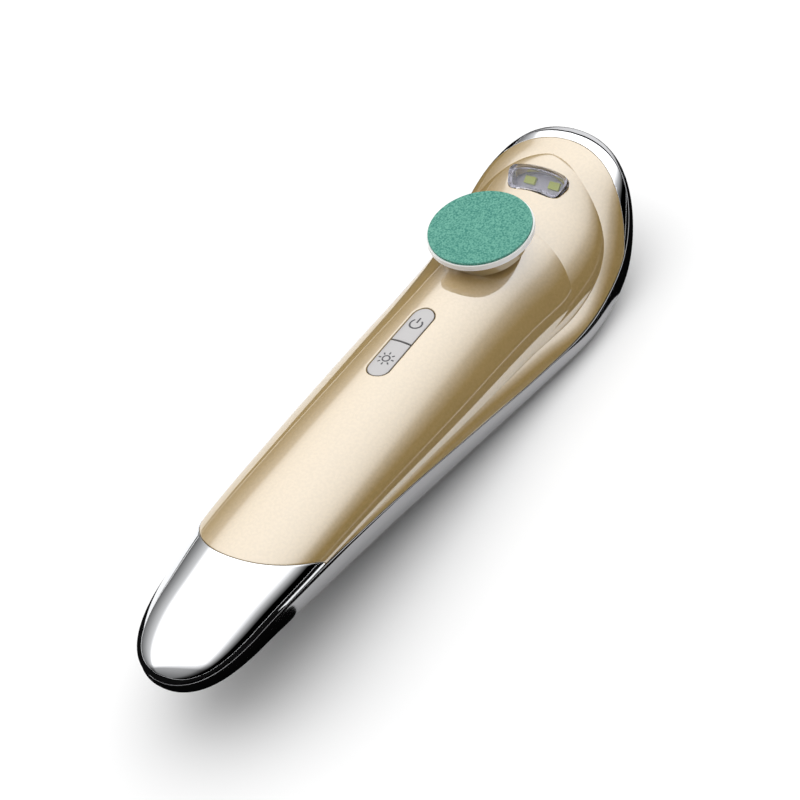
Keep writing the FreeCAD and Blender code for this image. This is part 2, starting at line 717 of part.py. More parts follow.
def button(name, side):
    """One half of the pill: a cap flush with the cover, a flange under it and a plunger."""
    gap, reach = size("button_gap"), size("button_flange")
    x = PILL + BUTTON_STEP * side
    cap = slot(f"{name}_pill", size("pill_length") - gap * 2, size("pill_width") - gap * 2, 20,
               PILL, FLANGE_TOP)
    half = box(f"{name}_half", size("pill_length") / 2 - gap, size("pill_width") * 3, 60,
               x, 0, 0)
    flange_blank = slot(f"{name}_flange_pill", size("pill_length") + reach * 2,
                        size("pill_width") + reach * 2, size("flange_thickness"),
                        PILL, FLANGE_TOP - size("flange_thickness"))
    flange_half = box(f"{name}_flange_half", size("pill_length"), size("pill_width") * 3, 60,
                      x + (size("pill_length") / 4 + gap / 2) * side, 0, 0)
    plunger = cylinder(f"{name}_plunger", size("plunger_radius"),
                       size("plunger_length") + size("flange_thickness") / 2,
                       x, 0, PLUNGER_BASE)
    flush_cap = common(f"{name}_cap", cap, half, crown_form)
    flange = common(f"{name}_flange", flange_blank, flange_half)
    node(name, fuse(f"{name}_piece", flush_cap, flange, plunger))


def switch(name, side):
    """A square tactile switch under a button."""
    x = PILL + BUTTON_STEP * side
    body = box(f"{name}_body", size("switch_side"), size("switch_side"),
               size("switch_height"), x, 0, BOARD_TOP)
    stem = cylinder(f"{name}_stem", size("switch_stem_radius"),
                    size("switch_stem_height") + 0.5, x, 0, STEM_TOP - size("switch_stem_height") - 0.5)
    node(name, fuse(f"{name}_piece", body, stem))


POSTS = [(size(f"post_{place}"), size("post_side") * side)
         for place in ("rear", "front") for side in (-1, 1)]


def control_board():
    """The circuit board under the buttons, hung from four posts of the cover."""
    hole = size("small_screw_radius") + GAP
    node("control_board", plate(
        "board", rectangle(size("board_length"), size("board_width")),
        size("board_thickness"), [(x, y, hole) for x, y in POSTS],
        PILL, 0, BOARD_TOP - size("board_thickness")))
    node("board_screws", group("board_screw_set", [
        screw(f"board_screw_{i}", size("small_screw_radius"), size("small_head_radius"),
              size("small_head_height"), size("board_thickness") + size("post_depth") - 0.5,
              PILL + x, y, BOARD_TOP - size("board_thickness"))
        for i, (x, y) in enumerate(POSTS)]))


button("lamp_button", -1)
button("power_button", 1)
switch("lamp_switch", -1)
switch("power_switch", 1)
control_board()


# ------------------------------------------------------------------------- lamp

WINDOW_HEIGHT = smooth("face", mm("window_at"))


def bean(name, inset, bottom, top):
    """A prism on the window's leaning frame: a slot bent round the disc's side."""
    bend, half = mm("window_bend"), mm("window_depth") / 2 - inset
    spread = (mm("window_span") / 2 - inset) / bend
    outer, inner = bend + half, bend - half

    def point(radius, share):
        return Vector(radius * math.cos(share * spread) - bend, radius * math.sin(share * spread),
                      bottom)

    rim = [Part.Arc(point(outer, -1), point(outer, 0), point(outer, 1)).toShape(),
           Part.makeLine(point(outer, 1), point(inner, 1)),
           Part.Arc(point(inner, 1), point(inner, 0), point(inner, -1)).toShape(),
           Part.makeLine(point(inner, -1), point(outer, -1))]
    prism = Part.Face(Part.Wire(rim)).extrude(Vector(0, 0, top - bottom))
    upright = [edge for edge in prism.Edges
               if abs(edge.tangentAt(edge.FirstParameter).z) > 0.99]
    piece = doc.addObject("Part::Feature", name)
    piece.Shape = prism.makeFillet(0.62 * half, upright)
    return tilted(piece, mm("window_at"), WINDOW_HEIGHT, -mm("window_tilt"))


def lamp():
    """The clear lens in the window, and under it the reflector, the board and two chips."""
    gap, wall = mm("fit_gap"), mm("reflector_wall")
    lens_top = -mm("lens_drop")
    lens_base = lens_top - mm("lens_thickness")
    board_top = lens_base - mm("reflector_depth")
    board_base = board_top - mm("board_thickness")
    node("lamp_lens", bean("lens", gap, lens_base, lens_top))
    node("lamp_reflector", cut("reflector", bean("reflector_blank", gap, board_top, lens_base),
                               bean("reflector_hole", gap + wall, board_top - 1, lens_base + 1)))
    node("lamp_board", common("lamp_plate", bean("lamp_plate_blank", -0.3, board_base, board_top),
                              hollow_form))
    chips = []
    for i, side in enumerate((-1, 1)):
        chip = doc.addObject("Part::Box", f"chip_{i}")
        bind(chip, Length=size("led_width"), Width=size("led_length"), Height=size("led_height"))
        tilted(chip, mm("window_at"), WINDOW_HEIGHT, -mm("window_tilt"),
               -mm("led_width") / 2, side * mm("led_spacing") / 2 - mm("led_length") / 2,
               board_top)
        chips.append(chip)
    node("lamp_chips", group("chip_pair", chips))


lamp()


# ------------------------------------------------------------------ battery bay

CELL_STEP = mm("cell_radius") + mm("cell_gap") / 2
TRAY_LENGTH = mm("cell_length") + 2 * (mm("contact_room") + mm("tray_wall"))
TRAY_WIDTH = 2 * (CELL_STEP + mm("cell_radius") + mm("fit_gap") + mm("tray_wall"))
TRAY_TOP = mm("cell_radius") + mm("fit_gap") + mm("tray_wall")


def in_bay(piece, x=0.0, y=0.0, z=0.0, turn=None):
    """Place a piece in the sloping frame of the battery bay."""
    return tilted(piece, mm("cells_at"), mm("cells_height"), mm("cells_tilt"), x, y, z, turn)


def bay_box(name, length, width, bottom, top, x=0.0, y=0.0):
    """A box in the bay's frame, centred on x and y."""
    piece = doc.addObject("Part::Box", name)
    piece.Length, piece.Width, piece.Height = length, width, top - bottom
    return in_bay(piece, x - length / 2, y - width / 2, bottom)


def cell(name, side):
    """A round cell with its tip; the two lie head to tail."""
    length, tip_radius, tip = mm("cell_length"), size("cell_tip_radius"), size("cell_tip")
    edge = as_size(0.4)
    body = revolve(f"{name}_body", [
        (0, 0), (size("cell_radius") - edge, 0), (size("cell_radius"), edge),
        (size("cell_radius"), size("cell_length") - tip - edge),
        (size("cell_radius") - edge, size("cell_length") - tip),
        (tip_radius, size("cell_length") - tip), (tip_radius, size("cell_length")),
        (0, size("cell_length"))])
    for axis in "xyz":
        body.setExpression(f"Placement.Base.{axis}", None)
    in_bay(body, -side * length / 2, side * CELL_STEP, 0,
           Rotation(Vector(0, 1, 0), 90 * side))
    node(name, body)


def leaf(name, width, side, y=0.0):
    """A folded strip that presses on the end of a cell, seen from the side."""
    thick, room = size("contact_thickness"), size("contact_room")
    body = new_body(name)
    for axis in "xyz":
        body.setExpression(f"Placement.Base.{axis}", None)
    foot, top = as_size(-3.4), as_size(4.0)
    profile = polygon_sketch(body, f"{name}_profile", "XZ_Plane", [
        (0, foot), (0, top), (thick * 2.4, top), (room - GAP, 0.6), (room - GAP - thick, 0.5),
        (thick * 2, top - thick), (thick, top - thick), (thick, foot)])
    pad = body.newObject("PartDesign::Pad", f"{name}_pad")
    pad.Profile = profile
    pad.Length = width
    pad.Midplane = True
    end = mm("cell_length") / 2 + mm("contact_room")
    in_bay(body, -side * end, y, 0, Rotation(Vector(0, 0, 1), 0 if side > 0 else 180))
    return body


def tray():
    """The frame that holds the cells, open towards the door."""
    wall = mm("tray_wall")
    block = bay_box("tray_block", TRAY_LENGTH, TRAY_WIDTH, -BAY_DEPTH, TRAY_TOP)
    pocket = bay_box("tray_pocket", TRAY_LENGTH - 2 * wall, TRAY_WIDTH - 2 * wall,
                     -2 * BAY_DEPTH, TRAY_TOP - wall)
    notch = bay_box("tray_notch", 6 * wall, mm("hook_width") + 1, -2 * BAY_DEPTH,
                    HOOK_BASE + mm("hook_thickness") + 0.8, -TRAY_LENGTH / 2)
    node("battery_tray", common("tray_fitted", cut("tray_frame", block, fuse(
        "tray_cuts", pocket, notch)), hollow_form))


DOOR_LENGTH = TRAY_LENGTH - 2 * mm("door_margin") - 2 * mm("tray_wall")
DOOR_WIDTH = TRAY_WIDTH - 2 * mm("door_margin") - 2 * mm("tray_wall")
HOOK_BASE = -mm("cell_radius") - mm("hook_drop")
BAY_DEPTH = 3 * mm("cell_radius")


def door():
    """The door's panel is the shell's own wall inside the opening, with a hook at its rear."""
    gap, reach = mm("door_gap"), mm("hook_length")
    top = -0.76 * mm("cell_radius")
    opening = bay_box("door_opening", DOOR_LENGTH + 2 * gap, DOOR_WIDTH + 2 * gap,
                      -2 * BAY_DEPTH, top)
    panel = common("door_panel", lower_tub,
                   bay_box("door_block", DOOR_LENGTH, DOOR_WIDTH, -2 * BAY_DEPTH, top))
    hook = bay_box("door_hook", reach + gap + mm("hook_stem"), mm("hook_width"), HOOK_BASE,
                   HOOK_BASE + mm("hook_thickness"),
                   -(DOOR_LENGTH + reach + gap - mm("hook_stem")) / 2)
    stem = common("door_hook_stem", inside_floor,
                  bay_box("door_stem", mm("hook_stem"), mm("hook_width"), -BAY_DEPTH,
                          HOOK_BASE + mm("hook_thickness") / 2,
                          -(DOOR_LENGTH - mm("hook_stem")) / 2))
    node("battery_door", fuse("door_piece", panel, hook, stem))
    return opening


door_opening = door()
tray()
cell("battery_cell_left", 1)
cell("battery_cell_right", -1)
node("contact_bridge", leaf("bridge", 4 * CELL_STEP - mm("contact_margin"), 1))
node("contact_leaves", group("leaf_pair", [
    leaf("leaf_left", 2 * CELL_STEP - mm("contact_margin"), -1, CELL_STEP),
    leaf("leaf_right", 2 * CELL_STEP - mm("contact_margin"), -1, -CELL_STEP)]))


# ---------------------------------------------------------- shells and their screws

SCREWS = [("neck_left", along("neck_screws_at"), size("neck_screws_side"), size("neck_screw_seat")),
          ("neck_right", along("neck_screws_at"), -size("neck_screws_side"), size("neck_screw_seat")),
          ("head_left", along("head_screws_at"), size("head_screws_side"), size("head_screw_seat")),
          ("head_right", along("head_screws_at"), -size("head_screws_side"), size("head_screw_seat")),
          ("tail", along("tail_screw_at"), as_size(0), size("tail_screw_seat"))]


def column(name, radius, bottom, top, x, y, within):
    """An upright column that ends at the surface of the form it stands in."""
    return common(name, cylinder(f"{name}_rod", radius, as_size(top) - bottom, x, y, bottom),
                  within)


def lower_shell():
    """The lower shell: a tub with screw bosses, motor seat, bracket posts and door opening."""
    head = size("shell_head_radius") + GAP
    bosses = [column(f"lower_boss_{name}", head + size("boss_wall"), -5, 40, x, y, flat_belly)
              for name, x, y, seat in SCREWS]
    posts = [column(f"bracket_post_{i}", size("bracket_width") / 2, 0, CAN_TOP,
                    AXIS + size("bracket_reach") * side, 0, inside_floor)
             for i, side in enumerate((-1, 1))]
    ring = common("motor_seat", inside_floor,
                  cylinder("motor_ring", size("motor_radius") + GAP + size("boss_wall"),
                           size("seat_height"), AXIS, 0, WALL / 2))
    recesses = [cylinder(f"recess_{name}", head, seat + 10, x, y, -10)
                for name, x, y, seat in SCREWS]
    holes = [cylinder(f"hole_{name}", size("shell_screw_radius") + GAP, 30, x, y, seat)
             for name, x, y, seat in SCREWS]
    motor_room = cylinder("motor_room", size("motor_radius") + GAP, 20, AXIS, 0, WALL)
    pilots = [cylinder(f"bracket_pilot_{i}", size("small_screw_radius") + RUN, 6,
                       AXIS + size("bracket_reach") * side, 0, CAN_TOP - 6)
              for i, side in enumerate((-1, 1))]
    solid = fuse("lower_solid", lower_tub, ring, *bosses, *posts)
    node("lower_shell", cut("lower_piece", solid, fuse(
        "lower_cuts", door_opening, motor_room, *recesses, *holes, *pilots)))


def cover_screws(pieces, within):
    """Screw bosses under a cover, and their pilot holes."""
    bosses = [column(f"upper_boss_{name}", size("shell_screw_radius") + size("boss_wall"),
                     -5, 60, x, y, within) for name, x, y, seat in pieces]
    pilots = [cylinder(f"pilot_{name}", size("shell_screw_radius") + RUN,
                       size("shell_screw_length") + 10.5, x, y, seat - 10)
              for name, x, y, seat in pieces]
    return bosses, pilots


def top_cover():
    """The gold cover, with its openings for the spindle, the buttons and the lamp."""
    gold_skin = common("gold_skin", cover_skin, gold_region)
    bosses, pilots = cover_screws(SCREWS[:4], gold_skin)
    posts = [column(f"board_post_{i}", size("post_radius"), BOARD_TOP, 60, PILL + x, y, gold_skin)
             for i, (x, y) in enumerate(POSTS)]
    land = cylinder("collar_land", size("collar_radius") + 0.6, size("spigot_depth"),
                    AXIS, 0, SPIGOT_BASE)
    post_holes = [cylinder(f"post_hole_{i}", size("small_screw_radius") + RUN,
                           size("post_depth"), PILL + x, y, BOARD_TOP)
                  for i, (x, y) in enumerate(POSTS)]
    spigot_hole = cylinder("spigot_hole", size("spigot_radius") + GAP, 60, AXIS, 0, 0)
    collar_room = cylinder("collar_room", size("collar_radius") + 0.3, 60,
                           AXIS, 0, size("collar_seat"))
    pill = slot("pill_opening", size("pill_length"), size("pill_width"), 40, PILL, FLANGE_TOP - 5)
    window = bean("window_opening", 0.0, -9.0, 12.0)
    solid = fuse("cover_solid", gold_shell, land, *bosses, *posts)
    node("top_cover", cut("cover_piece", solid, fuse(
        "cover_cuts", spigot_hole, collar_room, pill, window, *pilots, *post_holes)))


def tail_cap():
    """The chrome cap over the tail, held by the tail screw."""
    cap_skin = cut("cap_skin", cover_skin, rear_arc)
    bosses, pilots = cover_screws(SCREWS[4:], cap_skin)
    node("nose_cap", cut("cap_piece", fuse("cap_solid", nose_cap, *bosses), pilots[0]))


lower_shell()
top_cover()
tail_cap()
node("head_trim", head_trim)
node("shell_screws", group("shell_screw_set", [
    screw(f"shell_screw_{name}", size("shell_screw_radius"), size("shell_head_radius"),
          size("shell_head_height"), size("shell_screw_length"), x, y, seat)
    for name, x, y, seat in SCREWS]))


# ------------------------------------------------------------ checks and export

doc.recompute()
failed = [o.Name for o in doc.Objects if "Invalid" in o.State or "Error" in o.State]
if failed:
    raise RuntimeError(f"failed objects: {failed}")
for name, piece in nodes.items():
    shape = piece.Shape
    if shape.isNull() or not shape.isValid() or not shape.Solids:
        raise RuntimeError(f"{name} is not a valid solid")

os.makedirs("parts", exist_ok=True)
for name, piece in nodes.items():
    piece.Shape.exportStep(f"parts/{name}.step")
    print(f"{name}: {len(piece.Shape.Solids)} solid(s), {piece.Shape.Volume / 1000:.2f} cm3")
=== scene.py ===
# %% [markdown]
# # A hand-held callus remover, dressed for its portrait
#
# The object is a curved handle with a spinning abrasive disc on its face. The frame brings
# every working part at its real size: motor, spindle, switches, cells. Most of what the eye
# meets is lacquered or chromed skin, though, and reflections betray every facet. So the
# skins are made again here as smooth surfaces from the same few numbers that shape the
# solids, and each one hides the solid it stands for.

# %% Load the frame
import math

import bmesh
import bpy
import numpy as np
from mathutils import Matrix


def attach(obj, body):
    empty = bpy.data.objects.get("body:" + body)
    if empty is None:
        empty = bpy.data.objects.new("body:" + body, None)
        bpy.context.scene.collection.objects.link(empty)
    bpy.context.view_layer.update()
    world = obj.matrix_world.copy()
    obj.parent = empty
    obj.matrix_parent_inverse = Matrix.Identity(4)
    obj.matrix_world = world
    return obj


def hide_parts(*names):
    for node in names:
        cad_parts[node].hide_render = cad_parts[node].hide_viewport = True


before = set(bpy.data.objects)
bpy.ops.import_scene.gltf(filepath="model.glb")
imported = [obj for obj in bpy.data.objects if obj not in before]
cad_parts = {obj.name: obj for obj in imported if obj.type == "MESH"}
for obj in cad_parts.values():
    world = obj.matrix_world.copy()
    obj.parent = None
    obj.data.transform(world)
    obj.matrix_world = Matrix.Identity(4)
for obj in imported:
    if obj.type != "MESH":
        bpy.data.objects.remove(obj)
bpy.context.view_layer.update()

# %% [markdown]
# ## The profiles of the body
#
# A moulded body like this is drawn as a few long curves: how wide the seam is, how high it
# runs, where the crease lies, how high the back and the face are. Ten stations along the
# body give each curve its values and a cubic runs smoothly through them. Everything below
# is in millimetres along the body, counted from the tail, and becomes metres only when a
# mesh is written.

# %% Stations along the body
STATION = np.array([0, 15, 35, 60, 90, 115, 132, 147, 159, 171.0])
CURVES = {
    "width": [12.6, 12.9, 15.6, 17.7, 19.9, 22.3, 24.2, 24.0, 23.8, 25.0],
    "seam": [19.9, 20.6, 21.1, 17.9, 11.9, 7.4, 6.3, 9.7, 17.2, 28.8],
    "bulge": [1.4, 1.4, 1.2, 0.7, 0.7, 1.5, 2.3, 3.2, 3.2, 2.4],
    "crease_width": [12.4, 13.0, 15.3, 16.6, 18.1, 19.0, 20.1, 20.3, 19.4, 19.6],
    "crease": [20.6, 21.3, 21.4, 19.0, 14.5, 10.7, 9.0, 13.6, 22.6, 29.3],
    "crown": [24.6, 28.0, 29.4, 29.2, 28.1, 26.6, 25.2, 24.2, 24.0, 24.0],
    "face": [12.0, 12.0, 14.0, 15.0, 17.0, 20.5, 22.6, 25.0, 29.6, 30.0],
    "keel": [13.0, 11.8, 8.4, 3.8, -1.2, -3.0, -2.1, 2.1, 9.3, 20.9],
}
LENGTH = STATION[-1]
DISC_AT = 128.6
TAIL_ROUND, HEAD_ROUND = 19.0, 30.0
NOSE_END, NOSE_ROUND, FACE_END, FACE_ROUND = 147.5, 19.0, 160.9, 26.7
BACK_FULL, FACE_FULL, KEEL_FULL = 0.455, 0.45, 0.62
TIP_FLAT = 0.4          # the solids end in flats this far short of both tips
SOFT_BELLY = 0.25       # radius of the edge between the belly and the underside
FACE_SINK = 0.37        # how fast the face sinks as it closes, as a power of its width
FACE_FLAT = 0.25        # share of the parabola in the face from station 150 on


def curve(name, at):
    """A named curve at a distance from the tail: cubic spans whose end slopes are those
    of the chords through the neighbouring stations."""
    at = np.asarray(at, float)
    value = np.array(CURVES[name], float)
    i = np.clip(np.searchsorted(STATION, at) - 1, 0, len(STATION) - 2)
    before, after = np.maximum(np.arange(10) - 1, 0), np.minimum(np.arange(10) + 1, 9)
    slope = (value[after] - value[before]) / (STATION[after] - STATION[before])
    span = STATION[i + 1] - STATION[i]
    t = (at - STATION[i]) / span
    return (value[i] * (1 + 2 * t) * (1 - t) ** 2 + value[i + 1] * t * t * (3 - 2 * t)
            + slope[i] * span * t * (1 - t) ** 2 - slope[i + 1] * span * t * t * (1 - t))


def rounded(distance, reach, power=2.5):
    """0 at an end and 1 from `reach` on: the flank of a superellipse."""
    left = 1 - np.clip(distance / reach, 0, 1)
    return np.maximum(1 - left ** power, 0) ** (1 / 2.2)


def closing(at, front, reach):
    """The share of the full section that is left near the tail and near a front end."""
    return rounded(at, TAIL_ROUND, 2.2) * rounded(front - at, reach)


def face_closing(at):
    """The share of the full width that the face keeps near its end."""
    return rounded(FACE_END - at, FACE_ROUND, 2.68)


def face_half(at):
    """Half the width of the face before it closes: the crease's, with a margin that
    grows towards the head."""
    return curve("crease_width", at) + 0.5 * (2 * (at - 80.0) / 67.5 - 1)


def outer_rise(at):
    """(foot level, rise) of the elliptic arch that runs through the crease."""
    low = curve("seam", at) - curve("bulge", at)
    share = np.minimum(curve("crease_width", at) / curve("width", at), 0.96)
    return low, np.maximum(curve("crease", at) - low, 0.4) / np.sqrt(1 - share ** 2)


print("seam at the disc:", round(float(curve("seam", DISC_AT)), 2), "mm above the belly")

# %% [markdown]
# ## Sections across the body
#
# Half a section is a cubic Bezier quarter: it leaves the seam or the crease upright and
# meets the middle level. One number, its fullness, says how far the handles reach, and so
# whether the section looks lean or boxy. With `v` from -1 to 1 across the body, the same
# quarter serves both sides.

# %% Bezier quarters
ELLIPSE = 4 * (math.sqrt(2) - 1) / 3


def quarter(t, fullness):
    """(share of the half width, share of the rise) at t from 0 at the foot to 1 in the
    middle: a cubic Bezier with poles (1, 0), (1, fullness), (fullness, 1), (0, 1)."""
    a, b, c, d = (1 - t) ** 3, 3 * t * (1 - t) ** 2, 3 * t * t * (1 - t), t ** 3
    return a + b + c * fullness, b * fullness + c + d


def at_width(share, fullness):
    """The t at which a quarter has that share of the half width."""
    t = np.linspace(0, 1, 801)
    across = quarter(t, fullness)[0]
    return np.interp(1 - share, 1 - across, t)


def place(at, across, height):
    """Points in metres in the frame of the solids. The solids end in small flats, so the
    skins are drawn in by as much at both tips, fading out along both ends."""
    at, across, height = np.broadcast_arrays(at, across, height)
    drawn = TIP_FLAT * (np.clip(1 - at / TAIL_ROUND, 0, 1) ** 2
                   - np.clip((at - LENGTH + HEAD_ROUND) / HEAD_ROUND, 0, 1) ** 2)
    return np.stack([at + drawn - LENGTH / 2, across, height], axis=-1) / 1000


# %% The four skins
def back(at, v):
    """The rounded back of the handle: half width the crease's, rising from the crease to
    the crown, closing in a round nose under the disc."""
    end = closing(at, NOSE_END, NOSE_ROUND)
    y, z = quarter(1 - np.abs(v), BACK_FULL)
    low = curve("crease", at)
    return place(at, np.sign(v) * y * curve("crease_width", at) * end,
                 low + z * (curve("crown", at) - low) * end ** 0.5)


def face(at, v):
    """The dished face of the head round that nose, from crease to crease. Towards its end
    it flattens: a quarter of the rise becomes a plain parabola, 1 - (share of width)^2,
    and the whole rise sinks with the width."""
    end = face_closing(at)
    y, z = quarter(1 - np.abs(v), FACE_FULL)
    low = curve("crease", at)
    flat = FACE_FLAT * np.clip((at - 135) / 15, 0, 1)
    z = (1 - flat) * z + flat * (1 - y ** 2)
    return place(at, np.sign(v) * y * face_half(at) * end,
                 low + z * np.maximum(curve("face", at) - low, 0.5) * end ** FACE_SINK)


def band(at, v):
    """The side band: an elliptic arch that starts below the seam and would go through
    the crease; v is -1 and 1 at its feet and 0 at its top."""
    end = closing(at, LENGTH, HEAD_ROUND)
    low, rise = outer_rise(at)
    y, z = quarter(1 - np.abs(v), ELLIPSE)
    return place(at, np.sign(v) * y * curve("width", at) * end, low + z * (rise * end))


def keel(at, v):
    """The underside: a full arch below the seam, cut level by the belly with a soft edge."""
    end = closing(at, LENGTH, HEAD_ROUND)
    low = curve("seam", at) - curve("bulge", at)
    y, z = quarter(1 - np.abs(v), KEEL_FULL)
    height = low - z * (low - curve("keel", at)) * end
    edge = SOFT_BELLY * np.logaddexp(0, np.minimum(height, 99) / SOFT_BELLY)
    level = np.where(height > 20 * SOFT_BELLY, height, edge)
    return place(at, np.sign(v) * y * curve("width", at) * end, level)


print("crown of the back at the buttons:", back(np.array(93.4), np.array(0.0)).round(4))

# %% [markdown]
# ## From a surface to a skin with real edges
#
# A moulded skin never ends in a razor edge: it turns through a small radius and goes down
# into the joint, and that radius is what catches the light along every seam. A skin here
# is a grid of points on one surface. `lip` adds such a rounded edge along a row of points,
# and `skin` swaps a patch of the grid for rings that close in on the outline of an
# opening and then turn down into it.

# %% Meshes from arrays
def quads(rows, columns, start=0, ring=False):
    """Faces of a grid of points counted row by row; a ring also joins last to first."""
    i, j = np.meshgrid(np.arange(rows - 1), np.arange(columns - (not ring)), indexing="ij")
    k = (j + 1) % columns
    return start + np.stack([i * columns + j, i * columns + k,
                             (i + 1) * columns + k, (i + 1) * columns + j], -1).reshape(-1, 4)


def unit(vectors):
    """Vectors of length one."""
    return vectors / np.maximum(np.linalg.norm(vectors, axis=-1, keepdims=True), 1e-12)


def outward(surface, at, v):
    """The unit normal of a surface by finite differences, turned away from the middle."""
    at, v = np.broadcast_arrays(np.asarray(at, float), np.asarray(v, float))
    n = unit(np.cross(surface(at + 0.02, v) - surface(at - 0.02, v),
                      surface(at, v + 0.001) - surface(at, v - 0.001)))
    here = surface(at, v)
    away = here - np.stack([here[..., 0], here[..., 1] * 0, here[..., 0] * 0 + 0.014], -1)
    return n * np.sign((n * away).sum(-1, keepdims=True))


def lip(edge, inward, normal, radius=0.00018, depth=0.0014, steps=4):
    """Rows from the bottom of a joint up round a quarter circle to just short of `edge`:
    edge - inward * r * sin(a) - normal * r * (1 - cos(a)), a from a right angle to 0."""
    a = np.linspace(np.pi / 2, 0, steps + 1)[:-1, None, None]
    turn = edge - inward * radius * np.sin(a) - normal * radius * (1 - np.cos(a))
    wall = edge - inward * radius - normal * depth
    return np.concatenate([wall[None], turn])


def build(name, points, faces, material, body="root", stands_for=(), merge=0.0):
    """A smooth-shaded piece from points and quads, facing away from the middle."""
    mesh = bpy.data.meshes.new(name)
    mesh.from_pydata(points.reshape(-1, 3), [], faces.tolist())
    if merge:
        bm = bmesh.new()
        bm.from_mesh(mesh)
        bmesh.ops.remove_doubles(bm, verts=bm.verts, dist=merge)
        bm.to_mesh(mesh)
        bm.free()
    mesh.shade_smooth()
    mesh.materials.append(material)
    piece = bpy.data.objects.new(name, mesh)
    bpy.context.scene.collection.objects.link(piece)
    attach(piece, body)
    if stands_for:
        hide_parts(*([stands_for] if isinstance(stands_for, str) else stands_for))
    print(f"{name}: {len(mesh.polygons)} faces")
    return piece


def facing(points, faces, middle=0.014):
    """The faces, turned over where the whole piece would face inwards."""
    corner = points.reshape(-1, 3)[faces]
    n = np.cross(corner[:, 2] - corner[:, 0], corner[:, 3] - corner[:, 1])
    centre = corner.mean(1)
    away = centre - np.stack([centre[:, 0], centre[:, 1] * 0, centre[:, 0] * 0 + middle], -1)
    return faces if (n * away).sum() > 0 else faces[:, ::-1]


# %% A skin with lips and openings
def skin(surface, at, v, lips=(), openings=()):
    """Points and faces of surface(at, v) on a grid of places, with lips on some of its
    four edges and with openings.

    An opening is (at, v, depth, radius): its outline in the surface's own two parameters,
    how deep its wall goes and how round its lip is, in metres.
    """
    points = surface(at, v)
    normal = outward(surface, at, v)
    rows, columns = at.shape
    keep = np.ones((rows - 1, columns - 1), bool)
    extra, extra_faces = [], []
    grid = np.arange(rows * columns).reshape(rows, columns)
    for hole_at, hole_v, depth, radius in openings:
        i0 = np.searchsorted(at[:, columns // 2], hole_at.min() - 0.6) - 1
        i1 = np.searchsorted(at[:, columns // 2], hole_at.max() + 0.6) + 1
        j0 = np.searchsorted(v[rows // 2], hole_v.min() - 0.02) - 1
        j1 = np.searchsorted(v[rows // 2], hole_v.max() + 0.02) + 1
        keep[i0:i1, j0:j1] = False
        loop = np.concatenate([grid[i0, j0:j1], grid[i0:i1, j1], grid[i1, j1:j0:-1],
                               grid[i1:i0:-1, j0]])
        mid_at, mid_v = hole_at.mean(), (hole_v.max() + hole_v.min()) / 2
        wide_at, wide_v = np.ptp(hole_at) / 2, np.ptp(hole_v) / 2
        angle = np.arctan2((v.ravel()[loop] - mid_v) / wide_v,
                           (at.ravel()[loop] - mid_at) / wide_at)
        turn = np.arctan2((hole_v - mid_v) / wide_v, (hole_at - mid_at) / wide_at)
        order = np.argsort(turn)
        goal_at = np.interp(angle, turn[order], hole_at[order], period=2 * np.pi)
        goal_v = np.interp(angle, turn[order], hole_v[order], period=2 * np.pi)
        share = np.linspace(0, 1, 7)[1:, None]
        ring_at = at.ravel()[loop] * (1 - share) + goal_at * share
        ring_v = v.ravel()[loop] * (1 - share) + goal_v * share
        rings = surface(ring_at, ring_v)
        n = outward(surface, goal_at, goal_v)
        along = unit(np.roll(rings[-1], -1, 0) - np.roll(rings[-1], 1, 0))
        inside = np.cross(n, along)
        middle = rings[-1].mean(0)
        inside *= np.sign((inside * (middle - rings[-1])).sum())
        walls = lip(rings[-1], -inside, n, radius, depth, steps=6)[::-1]
        rings = np.concatenate([rings, walls])
        first = rows * columns + sum(len(e) for e in extra)
        count = len(loop)
        ring_faces = quads(len(rings), count, first, ring=True)
        k = np.arange(count)
        join = np.stack([loop[k], loop[(k + 1) % count], first + (k + 1) % count, first + k], -1)
        extra.append(rings.reshape(-1, 3))
        extra_faces += [join, ring_faces]
    faces = quads(rows, columns).reshape(rows - 1, columns - 1, 4)[keep]
    faces = np.concatenate([faces] + extra_faces)
    points = np.concatenate([points.reshape(-1, 3)] + extra)
    base = points[:rows * columns].reshape(rows, columns, 3)
    for edge in lips:
        line, inner, n, index = {
            "start": (base[0], base[1], normal[0], grid[0]),
            "end": (base[-1], base[-2], normal[-1], grid[-1]),
            "left": (base[:, 0], base[:, 1], normal[:, 0], grid[:, 0]),
            "right": (base[:, -1], base[:, -2], normal[:, -1], grid[:, -1])}[edge]
        turned = lip(line, unit(inner - line), n)
        first, count = len(points), len(line)
        joint = quads(len(turned), count, first)
        last = first + (len(turned) - 1) * count + np.arange(count)
        join = np.stack([last[:-1], last[1:], index[1:], index[:-1]], -1)
        if edge in ("end", "left"):
            joint, join = joint[:, ::-1], join[:, ::-1]
        points = np.concatenate([points, turned.reshape(-1, 3)])
        faces = np.concatenate([faces, joint, join])
    return points, facing(points, faces)

# %% [markdown]
# ## Finishes
#
# The covers are lacquered: a warm gold base under a clear coat that mirrors the room, so
# the coat does most of the work. The cap, the trim and the lower shell are chrome plate.
# Every finish gets the same slight unevenness in its gloss, from one node group, because
# no polished surface is even.

